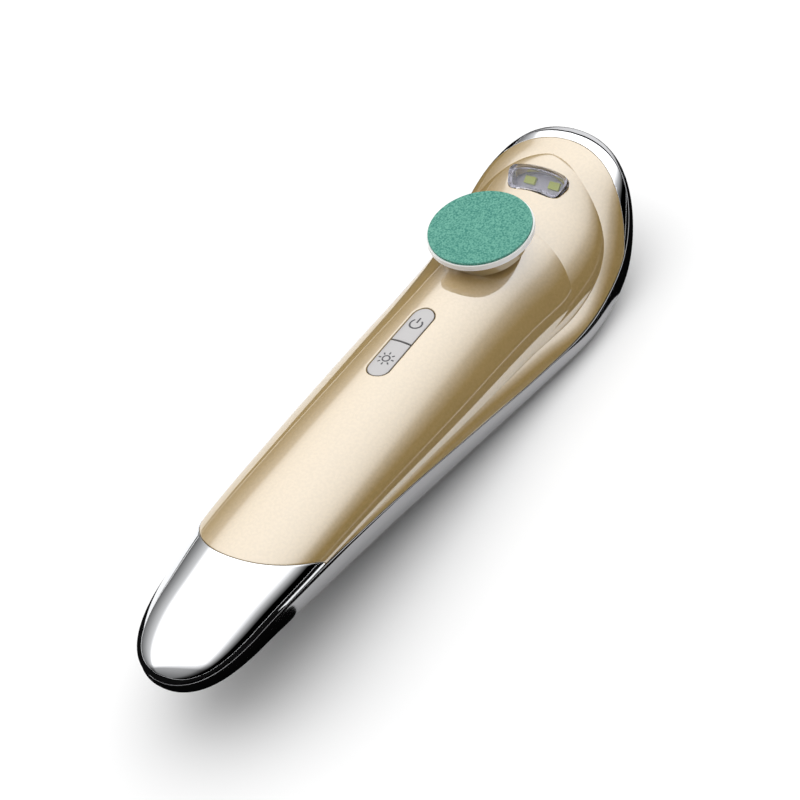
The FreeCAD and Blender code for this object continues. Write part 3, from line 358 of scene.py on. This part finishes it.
# %% Node helpers and the shared unevenness
def uneven_group():
    """A node group: noise in Object coordinates turned into a roughness and a height."""
    tree = bpy.data.node_groups.new("Polish unevenness", "ShaderNodeTree")
    for name, value in (("Scale", 300.0), ("Roughness", 0.1), ("Spread", 0.03)):
        socket = tree.interface.new_socket(name, in_out="INPUT", socket_type="NodeSocketFloat")
        socket.default_value = value
    for name in ("Roughness", "Height"):
        tree.interface.new_socket(name, in_out="OUTPUT", socket_type="NodeSocketFloat")
    given, result = tree.nodes.new("NodeGroupInput"), tree.nodes.new("NodeGroupOutput")
    coordinates = tree.nodes.new("ShaderNodeTexCoord")
    noise = tree.nodes.new("ShaderNodeTexNoise")
    noise.inputs["Detail"].default_value = 3.0
    centred = tree.nodes.new("ShaderNodeMath")
    centred.operation = "SUBTRACT"
    centred.inputs[1].default_value = 0.5
    spread = tree.nodes.new("ShaderNodeMath")
    spread.operation = "MULTIPLY"
    total = tree.nodes.new("ShaderNodeMath")
    total.operation = "ADD"
    link = tree.links.new
    link(coordinates.outputs["Object"], noise.inputs["Vector"])
    link(given.outputs["Scale"], noise.inputs["Scale"])
    link(noise.outputs["Fac"], centred.inputs[0])
    link(centred.outputs[0], spread.inputs[0])
    link(given.outputs["Spread"], spread.inputs[1])
    link(spread.outputs[0], total.inputs[0])
    link(given.outputs["Roughness"], total.inputs[1])
    link(total.outputs[0], result.inputs["Roughness"])
    link(noise.outputs["Fac"], result.inputs["Height"])
    return tree


UNEVEN = uneven_group()


def material(name, colour, rough=0.3, metallic=0.0, spread=0.04, scale=300.0, bump=0.0, **more):
    """A Principled material in a maker's plain terms, with the shared unevenness."""
    made = bpy.data.materials.new(name)
    made.use_nodes = True
    nodes, link = made.node_tree.nodes, made.node_tree.links.new
    shader = nodes["Principled BSDF"]
    shader.inputs["Base Color"].default_value = (*colour, 1.0)
    shader.inputs["Metallic"].default_value = metallic
    for key, value in more.items():
        shader.inputs[key.replace("_", " ")].default_value = value
    uneven = nodes.new("ShaderNodeGroup")
    uneven.node_tree = UNEVEN
    uneven.inputs["Scale"].default_value = scale
    uneven.inputs["Roughness"].default_value = rough
    uneven.inputs["Spread"].default_value = spread
    link(uneven.outputs["Roughness"], shader.inputs["Roughness"])
    if bump:
        relief = nodes.new("ShaderNodeBump")
        relief.inputs["Distance"].default_value = bump
        relief.inputs["Strength"].default_value = 0.6
        link(uneven.outputs["Height"], relief.inputs["Height"])
        link(relief.outputs["Normal"], shader.inputs["Normal"])
    made.diffuse_color = (*colour, 1.0)
    return made


def mottle(made, first, second, scale, low=0.4, high=0.6, detail=4.0):
    """Give a material's colour two tones mixed by a noise in Object coordinates."""
    nodes, link = made.node_tree.nodes, made.node_tree.links.new
    coordinates = nodes.new("ShaderNodeTexCoord")
    noise = nodes.new("ShaderNodeTexNoise")
    noise.inputs["Scale"].default_value = scale
    noise.inputs["Detail"].default_value = detail
    ramp = nodes.new("ShaderNodeValToRGB")
    ramp.color_ramp.elements[0].position, ramp.color_ramp.elements[1].position = low, high
    ramp.color_ramp.elements[0].color = (*first, 1.0)
    ramp.color_ramp.elements[1].color = (*second, 1.0)
    link(coordinates.outputs["Object"], noise.inputs["Vector"])
    link(noise.outputs["Fac"], ramp.inputs["Fac"])
    link(ramp.outputs["Color"], nodes["Principled BSDF"].inputs["Base Color"])
    return made


# %% Lacquer, chrome and the rest
GOLD = material("Champagne lacquer", (0.44, 0.30, 0.11), rough=0.45, spread=0.05, scale=900.0,
                Coat_Weight=1.0, Coat_Roughness=0.02, Coat_IOR=3.3)
mottle(GOLD, (0.42, 0.287, 0.103), (0.46, 0.313, 0.117), 1400.0)
CHROME = material("Bright chrome", (0.86, 0.87, 0.89), rough=0.045, metallic=1.0, spread=0.03)
SHELL = material("Grey chrome", (0.36, 0.36, 0.37), rough=0.10, metallic=1.0, spread=0.04)
WHITE = material("Disc white", (0.90, 0.88, 0.87), rough=0.38, spread=0.1, scale=500.0,
                 bump=0.00002)
COLLAR = material("Collar lacquer", (0.46, 0.335, 0.16), rough=0.35, spread=0.06, scale=700.0,
                  Coat_Weight=0.7, Coat_Roughness=0.06, Coat_IOR=1.9)
PEARL = material("Pearl silver", (0.42, 0.41, 0.41), rough=0.32, metallic=0.25, spread=0.06,
                 scale=900.0, Coat_Weight=0.6, Coat_Roughness=0.05)
GRIT = material("Teal grit", (0.09, 0.30, 0.23), rough=0.85, spread=0.2, scale=2600.0, bump=0.0003)
mottle(GRIT, (0.03, 0.20, 0.16), (0.14, 0.40, 0.31), 2300.0, 0.36, 0.62, 6.0)
LENS = material("Clear lens", (0.90, 0.90, 0.95), rough=0.03, spread=0.02,
                Transmission_Weight=1.0, IOR=1.45)
MIRROR_TRAY = material("Reflector grey", (0.50, 0.49, 0.54), rough=0.28, metallic=0.6, spread=0.1)
BOARD_WHITE = material("White solder mask", (0.62, 0.61, 0.66), rough=0.4, spread=0.1,
                       scale=600.0)
PHOSPHOR = material("Yellow phosphor", (0.62, 0.72, 0.09), rough=0.5, scale=1500.0, spread=0.1)
STEEL = material("Zinc plated steel", (0.56, 0.57, 0.58), rough=0.3, metallic=1.0, spread=0.12)
CAN = material("Drawn steel can", (0.50, 0.51, 0.52),
               rough=0.26, metallic=1.0, spread=0.15, scale=500.0)
BRASS = material("Turned brass", (0.60, 0.40, 0.14), rough=0.22, metallic=1.0, spread=0.1)
BLACK = material("Black moulding", (0.016, 0.016, 0.018),
                 rough=0.5, spread=0.1, scale=800.0, bump=0.00003)
GREY = material("Grey moulding", (0.09, 0.09, 0.10),
                rough=0.5, spread=0.1, scale=700.0, bump=0.00003)
RUBBER = material("Seal rubber", (0.02, 0.02, 0.022),
                  rough=0.75, spread=0.15, scale=900.0, bump=0.00004)
GREEN = material("Green solder mask", (0.018, 0.12, 0.045), rough=0.35, spread=0.12, scale=400.0)
mottle(GREEN, (0.013, 0.095, 0.035), (0.024, 0.15, 0.058), 260.0, 0.47, 0.53)
SLEEVE = material("Cell sleeve", (0.03, 0.10, 0.26), rough=0.25, spread=0.06, scale=300.0)
NICKEL = material("Nickel plate", (0.60, 0.58, 0.52), rough=0.25, metallic=1.0, spread=0.12)

DRESSING = {
    "lower_shell": SHELL, "battery_door": SHELL, "top_cover": GOLD, "nose_cap": CHROME,
    "head_trim": CHROME, "head_collar": COLLAR, "lamp_lens": LENS, "lamp_reflector": MIRROR_TRAY,
    "lamp_board": BOARD_WHITE, "lamp_chips": PHOSPHOR, "power_button": PEARL,
    "lamp_button": PEARL, "power_switch": BLACK, "lamp_switch": BLACK, "control_board": GREEN,
    "board_screws": STEEL, "motor_end_cap": BLACK, "motor_can": CAN, "motor_shaft": STEEL,
    "motor_bracket": CAN, "bracket_screws": STEEL, "drive_spindle": BRASS,
    "spindle_bush": BRASS, "dust_seal": RUBBER, "backing_disc": WHITE, "sanding_pad": GRIT,
    "battery_tray": GREY, "battery_cell_left": SLEEVE, "battery_cell_right": SLEEVE,
    "contact_bridge": NICKEL, "contact_leaves": NICKEL, "shell_screws": STEEL,
}
for node, finish in DRESSING.items():
    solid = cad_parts[node]
    solid.data.materials.clear()
    solid.data.materials.append(finish)
print("dressed solids:", len(DRESSING), "of", len(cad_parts))

# %% [markdown]
# ## Where one skin ends and the next begins
#
# The gold cover stops at two upright arcs: one across the tail, where the chrome cap slips
# over it, and one round the head, inside the chrome trim. On a surface with parameters the
# place where a line of the grid meets an arc is found by letting the two chase each other:
# take the width there, read the arc at that width, and repeat until nothing moves.

# %% The two arcs
TAIL_ARC = (35.0, 44.2, 16.5, -1)       # first guess, centre, radius, side
HEAD_ARC = (150.0, 143.2, 23.6, 1)
JOINT = 0.22                            # half the gap between two skins


def meets(surface, v, arc):
    """Where along each line v of a surface it meets an upright arc across the body:
    centre + side * sqrt(radius^2 - y^2), with y read from the surface itself."""
    guess, centre, radius, side = arc
    at = np.full(np.shape(v), guess)
    for _ in range(60):
        y = surface(at, v)[..., 1] * 1000
        at = 0.5 * at + 0.5 * (centre + side * np.sqrt(np.maximum(radius ** 2 - y ** 2, 0)))
    return at


def from_pole(count):
    """Shares from 0 to 1, packed close together near 0."""
    return 1 - np.cos(np.linspace(0, np.pi / 2, count))


def rows_between(start, end, count):
    """A grid of places, one row after the other, from start to end on each line."""
    share = np.linspace(0, 1, count)[:, None]
    return start * (1 - share) + end * share


across = np.linspace(-1, 1, 141)[None, :]
back_start = meets(back, across, TAIL_ARC)
print("gold begins", round(float(back_start[0, 70]), 1), "mm from the tail on the centre line")

# %% [markdown]
# ## The gold back of the handle
#
# The back is one smooth arch with an opening for the pair of buttons. To cut a pill out of
# a surface that is known by formula, its outline is drawn in plan and every point is
# carried to the surface's own parameters, so the edge of the opening follows the crown.

# %% From a plan view to a surface's own parameters
def on_back(at, y):
    """The v of the point of the back above (at, y)."""
    share = np.abs(y) / (curve("crease_width", at) * closing(at, NOSE_END, NOSE_ROUND))
    return np.sign(y) * (1 - at_width(np.minimum(share, 1), BACK_FULL))


def on_face(at, y):
    """The v of the point of the face above (at, y)."""
    half = face_half(at) * face_closing(at)
    return np.sign(y) * (1 - at_width(np.minimum(np.abs(y) / half, 1), FACE_FULL))


def on_keel(at, y):
    """The v of the point of the underside below (at, y)."""
    share = np.abs(y) / (curve("width", at) * closing(at, LENGTH, HEAD_ROUND))
    return np.sign(y) * (1 - at_width(np.minimum(share, 1), KEEL_FULL))


def pill_outline(half_length, radius, count=400):
    """A slot with round ends about the origin, as (along, across)."""
    turn = np.linspace(0, 2 * np.pi, count, endpoint=False)
    straight = half_length - radius
    return (radius * np.cos(turn) + straight * np.clip(np.cos(turn) * 40, -1, 1),
            radius * np.sin(turn))


# %% The back
PILL_AT, PILL_HALF, PILL_RADIUS, PILL_LIP = 93.8, 11.6, 2.9, 0.3
pill_x, pill_y = pill_outline(PILL_HALF + PILL_LIP, PILL_RADIUS + PILL_LIP)
pill_hole = (PILL_AT + pill_x, on_back(PILL_AT + pill_x, pill_y), 0.0022, PILL_LIP / 1000)
NOSE_FROM = 125.0
nose_turn = np.cos(np.linspace(0, np.pi / 2, 60))[:, None]
nose_rows = NOSE_END - (NOSE_END - NOSE_FROM) * nose_turn + 0 * across
back_rows = np.concatenate([
    rows_between(back_start + JOINT, np.full_like(across, NOSE_FROM), 210), nose_rows[1:]])
points, faces = skin(back, back_rows, np.broadcast_to(across, back_rows.shape),
                     lips=("start",), openings=(pill_hole,))
build("handle_back", points, faces, GOLD, stands_for="top_cover")

# %% The chrome cap over the tail
cap_rows = back_start * from_pole(90)[:, None] - JOINT * np.linspace(0, 1, 90)[:, None]
points, faces = skin(back, cap_rows, np.broadcast_to(across, cap_rows.shape), lips=("end",))
build("tail_cap", points, faces, CHROME, stands_for="nose_cap", merge=1e-7)

# %% [markdown]
# ## The dished face and its lamp window
#
# Round the nose of the handle the face of the head rises to the lamp. The window stands on
# its own leaning frame, tilted towards the disc so that the lamp lights what the disc
# works on. Its outline lies on that frame, and each point is dropped along the frame's
# axis until it meets the face.

# %% The window's leaning frame
LEAN = math.radians(28.0)
WINDOW_AT = 152.2
window_middle = face(np.array(WINDOW_AT), np.array(0.0))
window_x = np.array([math.cos(LEAN), 0, math.sin(LEAN)])
window_z = np.array([-math.sin(LEAN), 0, math.cos(LEAN)])
BEND, WINDOW_HALF, WINDOW_SPREAD = 22.0, 3.1, 15.4 / 2 / 22.0


def bean(inset, turn, share=1.0):
    """A slot bent round the disc's side in the window's frame, in millimetres: radius 22
    plus a rounded box (a superellipse of exponent 3.4) of half depth and half angle."""
    c, s = np.cos(turn), np.sin(turn)
    radius = BEND + share * (WINDOW_HALF - inset) * np.sign(c) * np.abs(c) ** (2 / 3.4)
    angle = share * (WINDOW_SPREAD - inset / BEND) * np.sign(s) * np.abs(s) ** (2 / 3.4)
    return radius * np.cos(angle) - BEND, radius * np.sin(angle)


def in_window(x, y, z):
    """Points of the window's frame, in millimetres, as points of the model in metres."""
    x, y, z = np.broadcast_arrays(x, y, z)
    return (window_middle + (x[..., None] * window_x + z[..., None] * window_z
                             + y[..., None] * np.array([0, 1.0, 0])) / 1000)


def dropped_on_face(x, y):
    """Where lines along the window's axis meet the face, as its own parameters."""
    depth = np.zeros_like(x)
    for _ in range(40):
        point = in_window(x, y, depth)
        at = point[..., 0] * 1000 + LENGTH / 2
        v = on_face(at, point[..., 1] * 1000)
        depth = depth - 0.7 * (point[..., 2] - face(at, v)[..., 2]) * 1000
    return at, v


# %% The face
turn = np.linspace(0, 2 * np.pi, 720, endpoint=False)
WINDOW_LIP = 0.38
window_hole = (*dropped_on_face(*bean(-WINDOW_LIP, turn)), 0.0024, WINDOW_LIP / 1000)
FACE_FROM, FACE_TIP = 84, 20.6
tip_rows = FACE_END - FACE_TIP * np.cos(np.linspace(0, np.pi / 2, 110))
face_rows = np.concatenate([np.linspace(FACE_FROM, 140, 90), tip_rows[1:]])[:, None] + 0 * across
points, faces = skin(face, face_rows, np.broadcast_to(across, face_rows.shape),
                     openings=(window_hole,))
build("head_face", points, faces, GOLD, merge=1e-7)

# %% [markdown]
# ## The side band and the chrome trim
#
# Between the seam and the crease runs a band on each side, and past the crease the two
# bands meet over the brow of the head. Each is the outer arch of the body, kept from just
# above the seam to a little inside the crease, where the back and the face cover it.

# %% Strips of the outer arch
def seam_share(at, above):
    """The t of the outer arch that lies `above` mm over its foot."""
    rise = np.maximum(outer_rise(at)[1] * closing(at, LENGTH, HEAD_ROUND), 1e-6)
    t = np.linspace(0, 1, 801)
    return np.interp(np.clip(above / rise, 0, 1), quarter(t, ELLIPSE)[1], t)


def inner_share(at):
    """The t of the outer arch 1.2 mm inside the edge of the face, 3.5 mm round the head
    where the face sinks, and its middle past the crease."""
    inside = 1.2 + 2.3 * np.clip((at - 140) / 12, 0, 1)
    y = np.maximum(curve("crease_width", at) * face_closing(at) - inside, 0)
    half = np.maximum(curve("width", at) * closing(at, LENGTH, HEAD_ROUND), 1e-6)
    return at_width(np.minimum(y / half, 1), ELLIPSE)


def strip(side):
    """The band of one side: c runs from 0 just above the seam to 1 inside the crease."""
    def surface(at, c):
        low = seam_share(at, curve("bulge", at) + JOINT)
        t = low + (np.maximum(inner_share(at), low) - low) * c
        return band(at, side * (1 - t))
    return surface


# %% Bands, cap sides and trim
up = np.linspace(0, 1, 70)[None, :]
for side, word in ((1, "left"), (-1, "right")):
    surface = strip(side)
    begins, ends = meets(surface, up, TAIL_ARC), meets(surface, up, HEAD_ARC)
    rows = rows_between(begins + JOINT, ends - JOINT, 420)
    points, faces = skin(surface, rows, np.broadcast_to(up, rows.shape),
                         lips=("start", "end", "left"))
    build(f"side_band_{word}", points, faces, GOLD)
    rows = (begins - JOINT) * from_pole(70)[:, None]
    points, faces = skin(surface, rows, np.broadcast_to(up, rows.shape), lips=("end", "left"))
    build(f"tail_cap_side_{word}", points, faces, CHROME, merge=1e-7)
    rows = LENGTH - (LENGTH - ends - JOINT) * from_pole(90)[::-1, None]
    points, faces = skin(surface, rows, np.broadcast_to(up, rows.shape), lips=("start", "left"))
    build(f"head_trim_{word}", points, faces, CHROME, stands_for="head_trim" if side == 1 else (),
          merge=1e-7)

# %% [markdown]
# ## The two buttons and their signs
#
# The buttons are two halves of one pill. Each follows the crown a hair below it, with its
# own rounded rim, so light runs round the opening. A button is closed here by rings that
# shrink from its outline to its middle. The signs are thin inlays: ribbons that lie on the
# same surface and stand a few hundredths of a millimetre proud.

# %% A cap that follows the crown
def half_pill(side, gap=0.18):
    """The plan of one half of the pill as (at, y), round at its far end."""
    radius, end = PILL_RADIUS - gap, PILL_HALF - gap
    a = np.linspace(-np.pi / 2, np.pi / 2, 60)
    out = np.linspace(gap, end - radius, 24)
    x = np.concatenate([[gap], out[1:], end - radius + radius * np.cos(a)[1:-1],
                        np.linspace(end - radius, gap, 24)[:-1], [gap], np.full(14, gap)])
    y = np.concatenate([[-radius], np.full(23, -radius), radius * np.sin(a)[1:-1],
                        np.full(23, radius), [radius], np.linspace(radius, -radius, 16)[1:-1]])
    return PILL_AT + side * x, y * side


def on_crown(at, y, depth):
    """Points `depth` mm under the back above (at, y)."""
    v = on_back(at, y)
    return back(at, v) - outward(back, at, v) * depth / 1000


BUTTON_DEPTH, RIM = 0.12, 0.22
CAP_HALF_LENGTH, CAP_HALF_WIDTH = 5.7, 2.75
CAP_FOOT, CAP_TAPER = 1.6, 0.2
for side, name in ((1, "power_button"), (-1, "lamp_button")):
    x, y = half_pill(side)
    middle = PILL_AT + side * PILL_HALF / 2
    rings = []
    rim = [(BUTTON_DEPTH + RIM * (1 - math.sin(a)), RIM * (1 - math.cos(a)))
           for a in np.linspace(0, np.pi / 2, 6)]
    for drop, inset in [(CAP_FOOT, CAP_TAPER)] + rim:
        rings.append(on_crown(middle + (x - middle) * (1 - inset / CAP_HALF_LENGTH),
                              y * (1 - inset / CAP_HALF_WIDTH), drop))
    for share in np.linspace(0.94, 0.0, 12):
        rings.append(on_crown(middle + (x - middle) * share * (1 - RIM / CAP_HALF_LENGTH),
                              y * share * (1 - RIM / CAP_HALF_WIDTH), BUTTON_DEPTH))
    rings = np.array(rings)
    faces = quads(len(rings), len(x), ring=True)
    build(f"{name}_cap", rings, facing(rings, faces), PEARL, body=name, stands_for=name,
          merge=1e-7)


# %% The signs
RIBBON_SECTION = ((-1.0, 0.03), (-0.75, -0.025), (0.0, -0.045), (0.75, -0.025), (1.0, 0.03))


def ribbon(name, strokes, width, body, finish):
    """Flat strokes laid on the buttons: each stroke is a line of (at, y) points, and the
    ribbon stands on both sides of it, with a low rounded section."""
    points, faces = [], []
    for line in strokes:
        line = np.asarray(line, float)
        run = unit(np.gradient(line, axis=0))
        across = np.stack([-run[:, 1], run[:, 0]], -1)
        rows = np.stack([on_crown(*(line + across * share * width / 2).T, BUTTON_DEPTH + drop)
                         for share, drop in RIBBON_SECTION], 1)
        faces.append(quads(len(line), 5, sum(len(p) for p in points)))
        points.append(rows.reshape(-1, 3))
    points, faces = np.concatenate(points), np.concatenate(faces)
    build(name, points, facing(points, faces), finish, body=body)


def arc(middle, radius, start, stop, count=40):
    """Part of a circle as a line of points; angles in degrees from +at towards +y."""
    a = np.radians(np.linspace(start, stop, count))
    return np.stack([middle + radius * np.cos(a), radius * np.sin(a)], -1)


def bar(x0, y0, x1, y1, count=6):
    """A straight line of points."""
    return np.linspace((x0, y0), (x1, y1), count)


INK = material("Sign ink", (0.05, 0.05, 0.055), rough=0.35, spread=0.05, scale=900.0)
power_at, lamp_at = PILL_AT + 6.1, PILL_AT - 5.9
ribbon("power_sign", [arc(power_at, 1.45, 40, 320), bar(power_at + 0.3, 0, power_at + 2.0, 0)],
       0.50, "power_button", INK)
RAY_FROM, RAY_TO = 1.35, 2.0
rays = [bar(lamp_at + RAY_FROM * c, RAY_FROM * s, lamp_at + RAY_TO * c, RAY_TO * s)
        for c, s in ((math.cos(a), math.sin(a)) for a in np.radians(np.arange(0, 360, 45)))]
ribbon("lamp_sign", [arc(lamp_at, 0.85, 0, 360)] + rays, 0.42, "lamp_button", INK)

# %% [markdown]
# ## The lower shell and the battery door
#
# The underside is the same arch turned over. Five screws and the battery door break it,
# and each opening is drawn in plan and carried to the surface like the pill.

# %% The lower shell
def tub(at, w):
    """The whole lower shell: w from -1 to 1 is the underside, and beyond it the
    flank from the widest line up to the seam."""
    over = np.clip((np.abs(w) - 1) / 0.2, 0, 1)
    below, above = keel(at, np.clip(w, -1, 1)), band(
        at, np.sign(w) * (1 - over * seam_share(at, curve("bulge", at) - JOINT)))
    return np.where((np.abs(w) > 1)[..., None], above, below)


flank = np.linspace(1.01, 1.2, 12)
w = np.concatenate([-flank[::-1], np.linspace(-1, 1, 150), flank])[None, :]
TIP = 26
tub_rows = np.concatenate([
    TIP * from_pole(60), np.linspace(TIP, LENGTH - TIP, 240)[1:],
    LENGTH - TIP * from_pole(70)[::-1][1:]])[:, None] + 0 * w
DOOR_TAIL, DOOR_HEAD, DOOR_SIDE, DOOR_GAP, LIP = 38.1, 83.3, 9.3, 0.3, 0.18
box_turn = np.linspace(0, 2 * np.pi, 1600, endpoint=False)
reach = DOOR_GAP + LIP
corner = np.maximum(np.abs(np.cos(box_turn)), np.abs(np.sin(box_turn))) ** -1
door_x = ((DOOR_TAIL + DOOR_HEAD) / 2
          + ((DOOR_HEAD - DOOR_TAIL) / 2 + reach) * np.clip(corner * np.cos(box_turn), -1, 1))
door_y = (DOOR_SIDE + reach) * np.clip(corner * np.sin(box_turn), -1, 1)
openings = [(door_x, on_keel(door_x, door_y), 0.0018, LIP / 1000)]
ring = np.linspace(0, 2 * np.pi, 200, endpoint=False)
SCREWS = ((20, 0), (110, 12.5), (110, -12.5), (149, 13), (149, -13))
SCREW_RADIUS = 2.4
for at, y in SCREWS:
    x, y = at + (SCREW_RADIUS + LIP) * np.cos(ring), y + (SCREW_RADIUS + LIP) * np.sin(ring)
    openings.append((x, on_keel(x, y), 0.003, LIP / 1000))
points, faces = skin(tub, tub_rows, np.broadcast_to(w, tub_rows.shape),
                     lips=("left", "right"), openings=openings)
build("lower_shell_skin", points, faces, SHELL, stands_for="lower_shell", merge=1e-7)

# %% [markdown]
# ## Camera, light and floor
#
# Lacquer and chrome show the room more than themselves. The room here is a studio tunnel
# along the body: a broad bright ceiling that fades softly on the near side and ends in an
# edge on the far side, dark walls at eye level, and a pale floor.

# %% Camera
RIGHT, UP = (0.537, -0.817, -0.210), (0.684, 0.275, 0.676)
BACKWARD = (-0.495, -0.506, 0.707)
CAMERA_AT = (-0.2230, -0.2304, 0.3360)
camera = bpy.data.objects.new("camera", bpy.data.cameras.new("camera"))
bpy.context.scene.collection.objects.link(camera)
u, _, vt = np.linalg.svd(np.array([RIGHT, UP, BACKWARD]).T)
axes = u @ vt           # the nearest true rotation to the rounded numbers
camera.matrix_world = Matrix.Translation(CAMERA_AT) @ Matrix(axes.tolist()).to_4x4()
camera.data.sensor_width, camera.data.lens = 36.0, 91.994
camera.data.shift_x, camera.data.shift_y = 0.00175, 0.00196
camera.data.clip_start = 0.01
bpy.context.scene.camera = camera
bpy.context.scene.view_settings.view_transform = "Standard"

# %% Floor
floor_mesh = bpy.data.meshes.new("floor")
FLOOR_LEVEL = -0.0002
floor_mesh.from_pydata([(x, y, FLOOR_LEVEL) for x, y in ((-3, -3), (3, -3), (3, 3), (-3, 3))],
                       [], [(0, 1, 2, 3)])
floor_mesh.materials.append(material("Pale floor", (0.90, 0.90, 0.90), rough=0.9, spread=0.05,
                                     scale=20.0))
floor = bpy.data.objects.new("floor", floor_mesh)
bpy.context.scene.collection.objects.link(floor)

# %% The room
def grey_ramp(nodes, stops):
    """A colour ramp with a grey value at each stop (position, value)."""
    ramp = nodes.new("ShaderNodeValToRGB")
    while len(ramp.color_ramp.elements) < len(stops):
        ramp.color_ramp.elements.new(1.0)
    for element, (position, value) in zip(ramp.color_ramp.elements, stops):
        element.position, element.color = position, (value, value, value, 1)
    return ramp


def room(strength, round_stops, length_stops):
    """A world lit by the angle round the body's length, a = atan2(y, z) of the direction
    in degrees, 0 straight up, times a value for how far the direction leans along it."""
    world = bpy.data.worlds.new("studio")
    bpy.context.scene.world = world
    world.use_nodes = True
    nodes, link = world.node_tree.nodes, world.node_tree.links.new
    way, split = nodes.new("ShaderNodeTexCoord"), nodes.new("ShaderNodeSeparateXYZ")
    angle, share = nodes.new("ShaderNodeMath"), nodes.new("ShaderNodeMath")
    angle.operation, share.operation = "ARCTAN2", "MULTIPLY_ADD"
    share.inputs[1].default_value, share.inputs[2].default_value = 0.5 / math.pi, 0.5
    tunnel = grey_ramp(nodes, [(0.5 + degrees / 360, value) for degrees, value in round_stops])
    reach = grey_ramp(nodes, [(0.5 + lean / 2, value) for lean, value in length_stops])
    lean, both = nodes.new("ShaderNodeMath"), nodes.new("ShaderNodeMath")
    lean.operation, both.operation = "MULTIPLY_ADD", "MULTIPLY"
    lean.inputs[1].default_value, lean.inputs[2].default_value = 0.5, 0.5
    link(way.outputs["Generated"], split.inputs[0])
    link(split.outputs["Y"], angle.inputs[0])
    link(split.outputs["Z"], angle.inputs[1])
    link(angle.outputs[0], share.inputs[0])
    link(share.outputs[0], tunnel.inputs["Fac"])
    link(split.outputs["X"], lean.inputs[0])
    link(lean.outputs[0], reach.inputs["Fac"])
    link(tunnel.outputs["Color"], both.inputs[0])
    link(reach.outputs["Color"], both.inputs[1])
    link(both.outputs[0], nodes["Background"].inputs["Color"])
    nodes["Background"].inputs["Strength"].default_value = strength


room(1.95, [(-180, 0.1), (-95, 0.0), (-66, 0.0), (-57, 0.10), (-47, 0.28), (-38, 0.62),
            (-28, 0.82), (-14, 0.94), (4, 1.0), (31, 0.97), (52, 0.88), (61, 0.70), (66, 0.36),
            (78, 0.18), (92, 0.05), (180, 0.05)],
     [(-1.0, 0.10), (-0.62, 0.22), (-0.45, 1.0), (0.88, 1.0), (0.96, 0.5), (1.0, 0.2)])


# %% Black flags on the floor
# polished metal needs something dark to show its shape: these cards are seen only in
# reflections, under the cap, along the near side and beyond the head
def flag(name, x0, x1, y0, y1):
    """A black card on the floor that only reflections see."""
    mesh = bpy.data.meshes.new(name)
    mesh.from_pydata([(x, y, FLAG_LEVEL) for x, y in ((x0, y0), (x1, y0), (x1, y1), (x0, y1))],
                     [], [(0, 1, 2, 3)])
    mesh.materials.append(FLAG_CLOTH)
    card = bpy.data.objects.new(name, mesh)
    bpy.context.scene.collection.objects.link(card)
    card.visible_camera = card.visible_diffuse = card.visible_shadow = False
    card.visible_transmission = False


FLAG_LEVEL = -0.00005
FLAG_CLOTH = material("Black flag cloth", (0.004, 0.004, 0.004), rough=1.0, Specular_IOR_Level=0.0)
flag("flag_tail", -0.8, -0.052, -0.8, 0.8)
flag("flag_near", -0.052, 0.062, -0.8, -0.055)
flag("flag_head", 0.062, 0.8, -0.8, 0.8)
